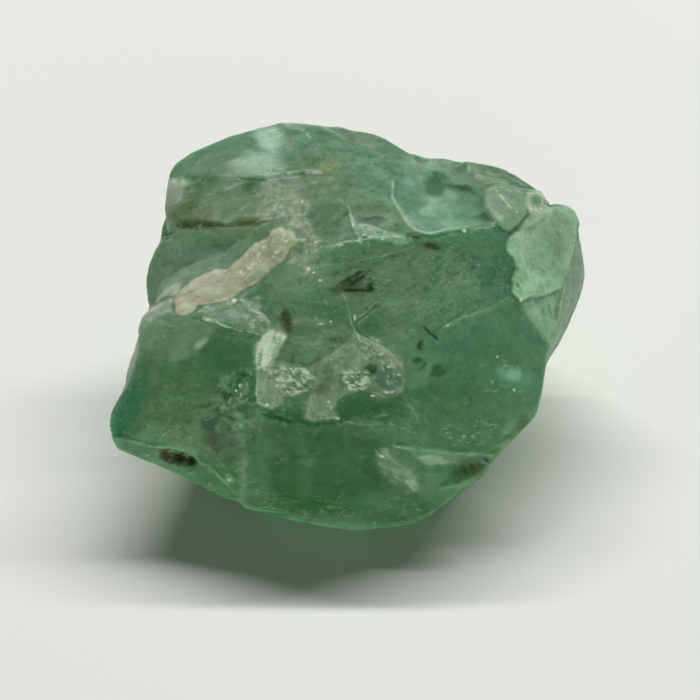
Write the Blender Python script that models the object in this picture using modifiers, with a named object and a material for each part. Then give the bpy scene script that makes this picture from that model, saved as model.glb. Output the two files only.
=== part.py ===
"""Rough emerald crystal: one broken lump of beryl with a seam of pale matrix, as a single solid.

The lump is made the way it broke.  Each growth block or flake is the convex hull of a short list of
corners.  The blocks are united, the seam and the ledges are laid on them, shells are scooped out
where flakes came away, and the whole is remeshed so that every break is a little soft and waved.
Last, the underside is cut flat where the crystal rests.

Units: the lists are in millimetres and the model is in metres, +Z up, with the origin under the
middle of the crystal on the surface it rests on.  X is its longest way.
"""
import math

import bmesh
import bpy
from mathutils import Euler, Matrix, Vector

MM = 0.001
NAME = "emerald_crystal"

# Driving sizes, in millimetres.
LENGTH = 27.0                 # along X, tip to tip
HEIGHT = 15.0                 # from the resting face to the top ridge
RIDGE_HEIGHT = 15.0           # the height that the corner lists below are drawn to
DRAWN_LENGTH = 27.0           # and their length
VOXEL = 0.20                  # cell of the remesh, which sets how soft the edges are
WAVE_DEPTH = 0.16             # depth of the gentle waves on the broken faces
WAVE_SIZE = 2.4
HACKLE_DEPTH = 0.07           # finer relief on top of the waves
HACKLE_SIZE = 0.7
SHARE_KEPT = 0.065            # of the remeshed faces, after thinning out
HEART = (-0.1, -0.9, 7.2)     # a point well inside, shared by every block so that all are joined
HEART_REACH = 1.6
SINK = 0.15                   # how far the blocks reach below the resting face before it is cut
MIDDLE = (0.01, 0.09)         # middle of the drawn outline in X and Y, moved onto the origin

BODY_COLOUR = (0.105, 0.235, 0.135, 1.0)

# Corners of each growth block, in millimetres.
BLOCKS = {
    # the large middle block, with the broad smooth face on its right and the dark one below
    "main": [
        (-1.9, -2.3, 14.0), (-0.3, -2.9, 14.6), (4.5, -2.5, 15.0), (7.8, -1.1, 14.2),
        (8.8, -1.0, 13.2), (4.7, -6.5, 11.8), (8.7, -3.4, 11.0), (10.8, -3.8, 8.0),
        (10.5, -4.8, 7.2), (10.2, -6.6, 5.9), (10.0, -7.1, 5.4), (9.1, -7.8, 4.7),
        (7.9, -8.6, 4.2), (7.2, -8.8, 3.9), (-5.0, -6.7, 11.2), (-5.2, -7.8, 10.2),
        (-5.5, -8.7, 8.5), (-1.4, -10.0, 8.3), (2.3, -10.1, 7.3), (5.4, -10.3, 2.9),
        (4.1, -11.1, 2.0), (2.7, -11.6, 1.7), (-0.6, -11.7, 1.5), (-3.0, -11.6, 1.8),
        (-5.1, -11.2, 2.2), (-6.3, -11.0, 2.6), (10.9, -0.1, 5.0), (8.7, 4.9, 8.0),
        (1.7, 7.9, 6.0), (-6.3, 4.9, 5.0), (4.1, 7.6, 12.2),
    ],
    # its flat underside, which the crystal rests on
    "foot": [
        (-4.8, -8.6, 0.0), (0.7, -9.9, 0.0), (4.2, -8.7, 0.0), (6.5, -5.1, 0.0),
        (5.5, 1.4, 0.0), (1.2, 3.9, 0.0), (-3.3, 3.4, 0.0), (-6.8, -1.1, 0.0),
        (-6.3, -11.0, 2.6), (5.4, -10.3, 2.9), (-0.6, -11.7, 1.5), (4.1, -11.1, 2.0),
        (-3.0, -11.6, 1.8), (2.7, -11.6, 1.7), (-5.1, -11.2, 2.2), (10.5, -4.8, 7.2),
        (10.9, -0.1, 5.0), (8.7, 4.9, 8.0), (1.7, 7.9, 6.0), (-6.3, 4.9, 5.0),
        (7.9, -8.6, 4.2), (-5.5, -8.7, 8.5),
    ],
    # the wedge that runs out to the low left tip
    "wedge": [
        (-11.8, -4.6, 10.0), (-11.6, -3.9, 10.1), (-8.1, -5.1, 11.1), (-5.0, -6.7, 11.2),
        (-3.5, -6.6, 11.2), (-3.0, -1.9, 12.4), (-7.7, -2.4, 10.8), (-10.6, -2.2, 9.7),
        (-2.9, -1.0, 12.8), (-6.4, -0.6, 10.5), (-9.9, -1.4, 9.3), (-11.8, 0.3, 7.2),
        (-13.5, -7.9, 5.6), (-13.3, -8.4, 5.1), (-9.6, -8.9, 4.9), (-6.5, -10.7, 3.4),
        (-5.6, -8.7, 8.5), (-13.2, -8.5, 4.6), (-11.2, -9.1, 4.1), (-8.1, -10.0, 3.5),
        (-6.9, -10.9, 3.0), (-13.0, -7.1, 6.6), (-12.4, -6.6, 7.4), (-12.0, -6.1, 8.6),
        (-8.3, -3.1, 1.5), (-4.8, -7.6, 0.3), (-6.3, -1.1, 0.2), (-10.8, -2.6, 4.0),
        (-10.6, -1.1, 3.6), (-8.8, 0.4, 1.8),
    ],
    # the layered shoulder at the back left: its glassy upper band
    "shoulder_top": [
        (-11.2, 7.2, 11.0), (-11.1, 8.0, 11.4), (-10.6, 8.9, 11.6), (-9.5, 9.5, 12.0),
        (-7.9, 10.2, 12.3), (-6.2, 11.1, 12.4), (-4.1, 11.8, 12.4), (-2.1, 11.6, 12.3),
        (-0.3, 11.2, 12.2), (-11.2, 5.5, 10.7), (-10.9, 3.4, 10.6), (-10.1, 2.6, 11.3),
        (-5.8, 0.7, 13.2), (-2.8, 0.5, 14.0), (-2.5, 2.5, 14.0), (-3.2, 6.2, 13.4),
        (-9.8, 6.4, 5.5), (-3.3, 10.5, 6.5), (3.2, 9.7, 7.0), (-7.3, 2.9, 2.0),
        (-10.3, 1.4, 5.5),
    ],
    # and its lower band, under the stained crack
    "shoulder_low": [
        (-10.5, 2.7, 10.9), (-5.9, 0.8, 12.8), (-2.8, -0.7, 13.5), (-1.8, -2.2, 13.9),
        (-2.9, -1.1, 12.8), (-6.4, -0.6, 10.5), (-9.9, -1.4, 9.3), (-11.1, 3.2, 10.2),
        (-11.4, 2.6, 9.8), (-12.0, 2.0, 9.3), (-12.2, 1.0, 8.0), (-12.1, 0.7, 7.0),
        (-11.2, -0.3, 7.6), (-10.5, 2.9, 5.0), (-8.3, 2.9, 2.0), (-7.3, -1.1, 2.5),
        (-10.6, -1.1, 3.6), (-8.8, 0.4, 1.8),
    ],
    # the plateau between the shoulder and the scooped lump
    "crown": [
        (-3.6, 10.4, 12.6), (-0.3, 10.9, 12.4), (1.4, 10.2, 12.4), (2.1, 9.6, 12.3),
        (3.2, 8.2, 12.4), (4.1, 7.4, 12.4), (-2.7, -1.4, 13.8), (-1.9, -2.3, 14.0),
        (-0.3, -2.9, 14.6), (2.4, -2.7, 14.8), (1.7, 3.0, 14.0), (-2.6, 4.7, 13.8),
        (4.7, 9.9, 6.5), (-2.3, 9.9, 6.0), (0.7, 3.9, 2.0), (-3.0, 0.0, 13.8),
        (-2.9, -1.1, 12.8),
    ],
    # the lump at the back right, whose top is scooped below
    "lump": [
        (4.1, 7.6, 12.2), (4.8, 7.6, 12.3), (5.8, 7.2, 12.5), (7.6, 7.4, 12.3),
        (9.3, 6.2, 12.2), (10.2, 5.7, 12.0), (11.1, 5.2, 11.6), (11.1, 4.6, 11.5),
        (4.5, -2.5, 15.0), (7.8, -1.1, 14.2), (8.8, -1.0, 13.2), (2.4, -2.7, 14.8),
        (2.2, 2.8, 13.8), (11.0, 5.9, 7.0), (7.7, 9.1, 7.5), (2.7, 9.4, 7.0),
        (7.7, 2.9, 2.5), (10.9, -0.1, 5.0), (1.7, 7.9, 5.0), (1.8, 9.0, 12.1),
    ],
    # the pale slab that leans on the right side
    "slab": [
        (10.7, 2.8, 12.2), (11.3, 3.4, 12.2), (12.1, 4.2, 11.8), (12.6, 4.3, 11.4),
        (12.9, 3.7, 10.8), (12.5, 2.4, 10.8), (8.8, -0.3, 12.8), (8.8, -3.1, 10.7),
        (10.9, -3.9, 7.9), (11.2, -2.9, 7.6), (12.0, -1.2, 7.2), (12.7, 0.3, 7.2),
        (13.3, 1.4, 7.6), (13.5, 2.1, 8.4), (13.3, 2.8, 9.2), (12.8, 3.1, 10.2),
        (12.2, 4.9, 6.0), (10.7, -1.1, 4.5), (7.7, 2.9, 2.5), (9.2, -4.1, 3.2),
        (10.1, -5.7, 6.0), (9.8, 4.4, 10.4), (10.6, 5.4, 6.6),
    ],
    # the saddle where the pale seam climbs between the wedge and the middle block
    "saddle": [
        (-3.8, -1.6, 12.9), (-2.7, -1.3, 13.7), (-1.9, -2.3, 14.0), (-6.3, -2.2, 11.6),
        (-5.9, 0.8, 12.9), (-2.8, 0.5, 13.9), (-5.0, -6.7, 11.1), (-3.5, -5.0, 11.6),
        (-8.4, -1.0, 10.6),
    ],
    # the glassy band raised on the back of the shoulder
    "glass_band": [
        (-9.4, 6.2, 12.0), (-5.4, 4.9, 13.4), (-2.0, 4.6, 13.9), (-10.3, 8.3, 11.5),
        (-7.6, 9.7, 12.2), (-5.6, 10.6, 12.5), (-2.4, 11.2, 12.6), (-0.6, 9.5, 12.8),
    ],
    # the face that carries the wedge over into the middle block
    "bridge": [
        (-9.2, -8.0, 7.9), (-9.4, -9.4, 4.4), (-8.2, -7.0, 9.6), (-5.4, -9.0, 8.7),
        (-5.6, -8.1, 9.9), (-6.6, -10.8, 4.2), (-5.8, -11.3, 2.6), (-7.2, -10.8, 3.2),
        (-2.4, -8.3, 10.1), (-1.5, -9.8, 8.6), (-2.9, -11.1, 4.6), (-3.6, -11.6, 2.4),
        (-4.2, -7.0, 11.1), (-5.0, -5.0, 6.0),
    ],
    # a glassy chip still on the lump, and a splinter beside it
    "chip": [
        (6.7, 3.9, 13.5), (8.0, 4.6, 13.3), (9.5, 4.4, 12.8), (9.9, 2.7, 13.3),
        (9.0, 0.5, 13.9), (8.0, -0.6, 14.4), (6.9, 0.6, 14.5), (7.6, 3.0, 14.0),
    ],
    "splinter": [
        (9.6, 4.9, 12.4), (10.9, 5.0, 12.2), (11.0, 3.4, 12.5), (10.2, 2.6, 13.1),
        (9.7, 3.5, 13.1), (9.6, 3.0, 11.0),
    ],
    # the raised back corner of the lump
    "corner": [
        (6.0, 7.3, 12.5), (6.6, 6.8, 12.9), (8.2, 6.7, 12.6), (9.6, 6.0, 12.4),
        (10.7, 5.2, 12.0), (7.2, 5.4, 13.0), (9.4, 5.0, 12.6), (8.0, 8.0, 11.4),
    ],
    # flakes half parted from the back and from the left side
    "back_flake": [
        (-8.6, 8.5, 9.8), (-3.0, 11.8, 10.6), (-1.6, 11.6, 8.0), (-5.2, 10.2, 6.2),
        (-8.8, 7.6, 7.0),
    ],
    "side_flake": [
        (-11.6, 2.0, 8.9), (-11.3, 4.4, 10.1), (-10.9, 6.9, 9.7), (-10.3, 7.4, 7.9),
        (-10.1, 5.9, 5.8), (-10.7, 3.9, 5.9), (-11.4, 2.2, 7.1),
    ],
    "back_right_flake": [
        (3.0, 9.4, 10.8), (7.4, 9.4, 10.6), (9.6, 7.6, 9.2), (8.6, 8.6, 7.2),
        (4.4, 10.0, 6.8),
    ],
    # the olive chip low on the right edge
    "heel": [
        (7.2, -8.5, 3.6), (7.1, -9.0, 3.2), (6.1, -9.7, 2.8), (5.4, -10.2, 2.6),
        (6.2, -9.0, 4.6), (4.6, -10.5, 3.4), (7.7, -5.6, 1.2), (7.2, -3.1, 0.8),
        (5.7, -10.3, 3.3), (6.4, -10.1, 4.0), (7.2, -9.4, 4.2), (7.2, -9.3, 3.5),
    ],
}

# Ellipsoids laid on or cut from the blocks: middle, half sizes and turn in degrees about X, Y, Z.
SEAM = [
    ((-8.1, -2.9, 10.9), (2.1, 0.9, 0.55), (0.0, -17.0, 18.0)),
    ((-4.9, -1.6, 12.5), (2.3, 1.0, 0.6), (0.0, -28.0, 18.0)),
]
SCOOPS = [
    # the bowl in the back right lump
    ((4.9, 4.7, 21.9), (9.0, 9.0, 9.0), (0.0, 0.0, 0.0)),
    # the notch in its back edge
    ((4.5, 8.5, 13.0), (1.7, 1.3, 0.8), (0.0, 0.0, 0.0)),
    # the hollow in the left edge and the nick in the right one
    ((-17.0, -5.3, 9.3), (5.1, 5.1, 5.1), (0.0, 0.0, 0.0)),
    ((13.2, -4.2, 6.6), (2.5, 2.5, 2.5), (0.0, 0.0, 0.0)),
    # the bright scar under the middle
    ((-2.2, -11.4, 12.8), (5.0, 5.0, 5.0), (0.0, 0.0, 0.0)),
    ((1.0, -10.4, 12.2), (3.5, 3.5, 3.5), (0.0, 0.0, 0.0)),
    # the small eye-shaped pit near the left tip
    ((-9.5, -9.25, 4.5), (1.0, 0.4, 0.36), (0.0, 20.0, -10.0)),
    # the stained crack across the shoulder
    ((-8.3, 1.9, 12.1), (2.3, 0.7, 0.14), (0.0, -20.6, -25.0)),
    # shells off the back, the sides and the underside edges
    ((-8.0, 13.4, 4.4), (6.5, 6.0, 5.0), (10.0, 0.0, 20.0)),
    ((6.8, 14.6, 5.2), (7.0, 6.4, 4.6), (0.0, 0.0, -14.0)),
    ((-14.2, 3.6, 2.6), (5.0, 6.0, 3.8), (0.0, 0.0, 0.0)),
    ((13.6, -4.6, 1.4), (4.2, 5.6, 3.6), (0.0, 0.0, 12.0)),
    ((0.8, 11.6, 2.0), (6.0, 5.0, 3.0), (0.0, 0.0, 0.0)),
    ((-11.0, -11.6, 0.6), (4.0, 5.0, 2.6), (0.0, -12.0, 0.0)),
]


def clear_scene():
    """Remove what the opening scene holds."""
    for thing in list(bpy.data.objects):
        bpy.data.objects.remove(thing, do_unlink=True)


def collection(name):
    """A new collection in the scene."""
    group = bpy.data.collections.new(name)
    bpy.context.scene.collection.children.link(group)
    return group


def full_size(point):
    """A drawn corner, in millimetres, at the crystal's own length and height, in metres."""
    along = LENGTH / DRAWN_LENGTH
    up = HEIGHT / RIDGE_HEIGHT
    x, y, z = point
    return Vector((x * along * MM, y * along * MM, (z * up - SINK * (z <= 0.0)) * MM))


def link(mesh, name, group):
    """A new object for the mesh, in the given collection."""
    thing = bpy.data.objects.new(name, mesh)
    group.objects.link(thing)
    return thing


def hide_as_tool(thing):
    """Show an object that only shapes another as wire, and keep it out of renders."""
    thing.hide_render = True
    thing.display_type = "WIRE"
    return thing


def hull(name, corners, group):
    """The convex block over the corners and the six points around the heart."""
    frame = bmesh.new()
    for corner in corners:
        frame.verts.new(full_size(corner))
    heart = full_size(HEART)
    for axis in range(3):
        for side in (-1.0, 1.0):
            reach = Vector((0.0, 0.0, 0.0))
            reach[axis] = side * HEART_REACH * MM
            frame.verts.new(heart + reach)
    result = bmesh.ops.convex_hull(frame, input=frame.verts)
    spare = [v for v in frame.verts if not v.link_faces]
    bmesh.ops.delete(frame, geom=spare, context="VERTS")
    bmesh.ops.recalc_face_normals(frame, faces=frame.faces)
    mesh = bpy.data.meshes.new(name)
    frame.to_mesh(mesh)
    frame.free()
    return link(mesh, name, group)


def ellipsoid(name, middle, half_sizes, turn, group):
    """A round shape with the given half sizes, turned and set at its middle."""
    frame = bmesh.new()
    bmesh.ops.create_uvsphere(frame, u_segments=32, v_segments=20, radius=1.0)
    stretch = Matrix.Diagonal((*[size * MM for size in half_sizes], 1.0))
    angles = Euler([math.radians(angle) for angle in turn])
    place = Matrix.Translation(full_size(middle)) @ angles.to_matrix().to_4x4()
    bmesh.ops.transform(frame, matrix=place @ stretch, verts=frame.verts)
    mesh = bpy.data.meshes.new(name)
    frame.to_mesh(mesh)
    frame.free()
    return link(mesh, name, group)


def combine(target, tool, operation):
    """Unite the tool with the target, or cut it away."""
    step = target.modifiers.new(f"{operation.lower()}_{tool.name}", "BOOLEAN")
    step.operation = operation
    step.solver = "EXACT"
    step.object = tool


def cloud(name, size):
    """A smooth noise texture of the given size, in millimetres."""
    texture = bpy.data.textures.new(name, "CLOUDS")
    texture.noise_scale = size * MM
    texture.noise_depth = 2
    return texture


def relief(target, name, size, depth):
    """Move the surface in and out by soft noise."""
    step = target.modifiers.new(name, "DISPLACE")
    step.texture = cloud(name, size)
    step.texture_coords = "LOCAL"
    step.strength = depth * MM
    step.mid_level = 0.5


def emerald():
    """The colour and finish of the green body."""
    finish = bpy.data.materials.new("emerald")
    finish.use_nodes = True
    shader = finish.node_tree.nodes["Principled BSDF"]
    shader.inputs["Base Color"].default_value = BODY_COLOUR
    shader.inputs["Roughness"].default_value = 0.3
    shader.inputs["Metallic"].default_value = 0.0
    shader.inputs["IOR"].default_value = 1.58
    return finish


def resting_cut(group):
    """The box under the resting face."""
    frame = bmesh.new()
    bmesh.ops.create_cube(frame, size=1.0)
    box = Matrix.Translation((0.0, 0.0, -2.0 * MM)) @ Matrix.Diagonal((0.04, 0.04, 0.004, 1.0))
    bmesh.ops.transform(frame, matrix=box, verts=frame.verts)
    mesh = bpy.data.meshes.new("resting_cut")
    frame.to_mesh(mesh)
    frame.free()
    return hide_as_tool(link(mesh, "resting_cut", group))


def build():
    """Make the crystal."""
    clear_scene()
    parts = collection(NAME)
    tools = collection("shaping_tools")
    crystal = hull(NAME, BLOCKS["main"], parts)
    for name, corners in BLOCKS.items():
        if name != "main":
            combine(crystal, hide_as_tool(hull(name, corners, tools)), "UNION")
    for count, lens in enumerate(SEAM):
        combine(crystal, hide_as_tool(ellipsoid(f"seam_{count}", *lens, tools)), "UNION")
    for count, lens in enumerate(SCOOPS):
        combine(crystal, hide_as_tool(ellipsoid(f"scoop_{count}", *lens, tools)), "DIFFERENCE")
    skin = crystal.modifiers.new("soften", "REMESH")
    skin.mode = "VOXEL"
    skin.voxel_size = VOXEL * MM
    relief(crystal, "waves", WAVE_SIZE, WAVE_DEPTH)
    relief(crystal, "hackle", HACKLE_SIZE, HACKLE_DEPTH)
    thin = crystal.modifiers.new("thin_out", "DECIMATE")
    thin.ratio = SHARE_KEPT
    combine(crystal, resting_cut(tools), "DIFFERENCE")
    crystal.location = (-MIDDLE[0] * MM, -MIDDLE[1] * MM, 0.0)
    crystal.data.materials.append(emerald())


build()
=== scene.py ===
"""Rough emerald crystal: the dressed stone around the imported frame.

The stone is one closed surface.  Every point of it starts on a ray from the heart of the stone, and
the length of that ray comes from the growth blocks and the shells broken out of them.  The seam,
the ledges and the fine relief then move it along the surface's own normal.  Colour, frost,
clearness and hairline cracks are worked out for the same points.
"""
import math
from itertools import combinations, product

import bpy
import numpy as np
from mathutils import Euler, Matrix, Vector


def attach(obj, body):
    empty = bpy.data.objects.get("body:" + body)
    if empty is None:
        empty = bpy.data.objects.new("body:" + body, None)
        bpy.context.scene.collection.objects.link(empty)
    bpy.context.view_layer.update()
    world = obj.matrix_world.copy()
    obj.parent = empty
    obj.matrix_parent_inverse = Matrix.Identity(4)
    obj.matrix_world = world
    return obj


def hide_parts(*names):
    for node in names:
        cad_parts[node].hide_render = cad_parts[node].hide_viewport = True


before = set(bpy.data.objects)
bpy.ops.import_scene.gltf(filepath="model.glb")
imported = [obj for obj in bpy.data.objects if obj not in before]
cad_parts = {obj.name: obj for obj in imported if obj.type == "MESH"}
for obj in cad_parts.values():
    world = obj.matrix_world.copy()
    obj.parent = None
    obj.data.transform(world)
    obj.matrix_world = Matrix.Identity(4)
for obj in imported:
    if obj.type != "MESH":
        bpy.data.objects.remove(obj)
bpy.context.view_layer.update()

MM = 0.001

# ---------------------------------------------------------------- the stone's driving sizes, in mm
HEART = np.array([-0.1, -0.9, 7.2])  # where every ray starts
HEART_REACH = 1.6  # half the size of the core that every block holds
SINK = 0.15  # how far the resting corners reach below the floor
MIDDLE = np.array([0.01, 0.09, 0.0])  # what is moved to the origin
SCOOP_SOFTNESS = 0.22
EDGE_SOFTNESS = 0.10
VALLEY_SOFTNESS = 0.06
GRID = 127  # cells along each edge of the cube of rays
FINER_IN_FRONT = 0.33  # how far the rays are drawn towards the front
STRETCH = np.array([13.5, 11.5, 8.2])  # half sizes that the rays are spread for
SAME_RAY = 1e5  # rays alike to one part in this are one ray
BROKEN_ROUNDS = 8  # rounds of evening out before the folds are bridged
BRIDGED_ROUNDS = 10  # and after
STRETCHED = (0.28, 0.5)  # cell diagonals at which points start to be evened, and are in full
BRIDGED = (0.04, 0.20)  # how far bridging moves a point for the same
EVEN_PULL = 0.7  # share of the way that a round moves a point
EDGE_ROUNDS = 5  # rounds of averaging that tell an edge from a face
TINY = 1e-6
SLOWEST = 1e-3  # the least speed at which a ray nears a plane
BEYOND = 1e3  # the reach of a ray that meets nothing
FAR = 1e9

# Waves in the surface: height in front, height behind, size, octaves and seed.
WAVES = [(0.07, 0.07, 2.4, 3, 11), (0.012, 0.036, 0.5, 3, 31), (0.02, 0.05, 1.1, 2, 41)]
BOWL_HEIGHT = 0.10
BOWL_LEVEL = 0.3  # the share of a bowl's height that lies at the bare surface
BOWL_SIZE = 3.0
BOWL_COUNT = 140
BOWL_SEED = 5
SEAM_HEIGHT = 0.17
SEAM_LUMPS = 0.05
SHARD_HEIGHT = 0.006
BROKEN_HEIGHT = 0.03
CRACK_DEPTH = 0.14
PIT_DEPTH = 0.55
EDGE_HIGHLIGHT = (0.018, 0.06)  # how proud an edge stands as its paleness starts, and is full: partly frost, partly painted highlight
HOLLOW_SHADE = (-0.012, -0.05)  # and how deep a hollow lies as it turns a deeper green: painted shade
# Noises through the stone: size, octaves and seed.
CLOUDS = {
    "seam lumps": (0.7, 3, 51), "seam rim": (0.5, 2, 61), "wobble": (0.7, 3, 71),
    "sage": (5.0, 2, 81), "teal": (3.6, 3, 91), "frost": (1.8, 3, 101), "sparkle": (1.4, 3, 111),
    "edge_highlight_and_hollow_shade": (0.6, 3, 170), "clumps": (1.3, 2, 180),
}

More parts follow.
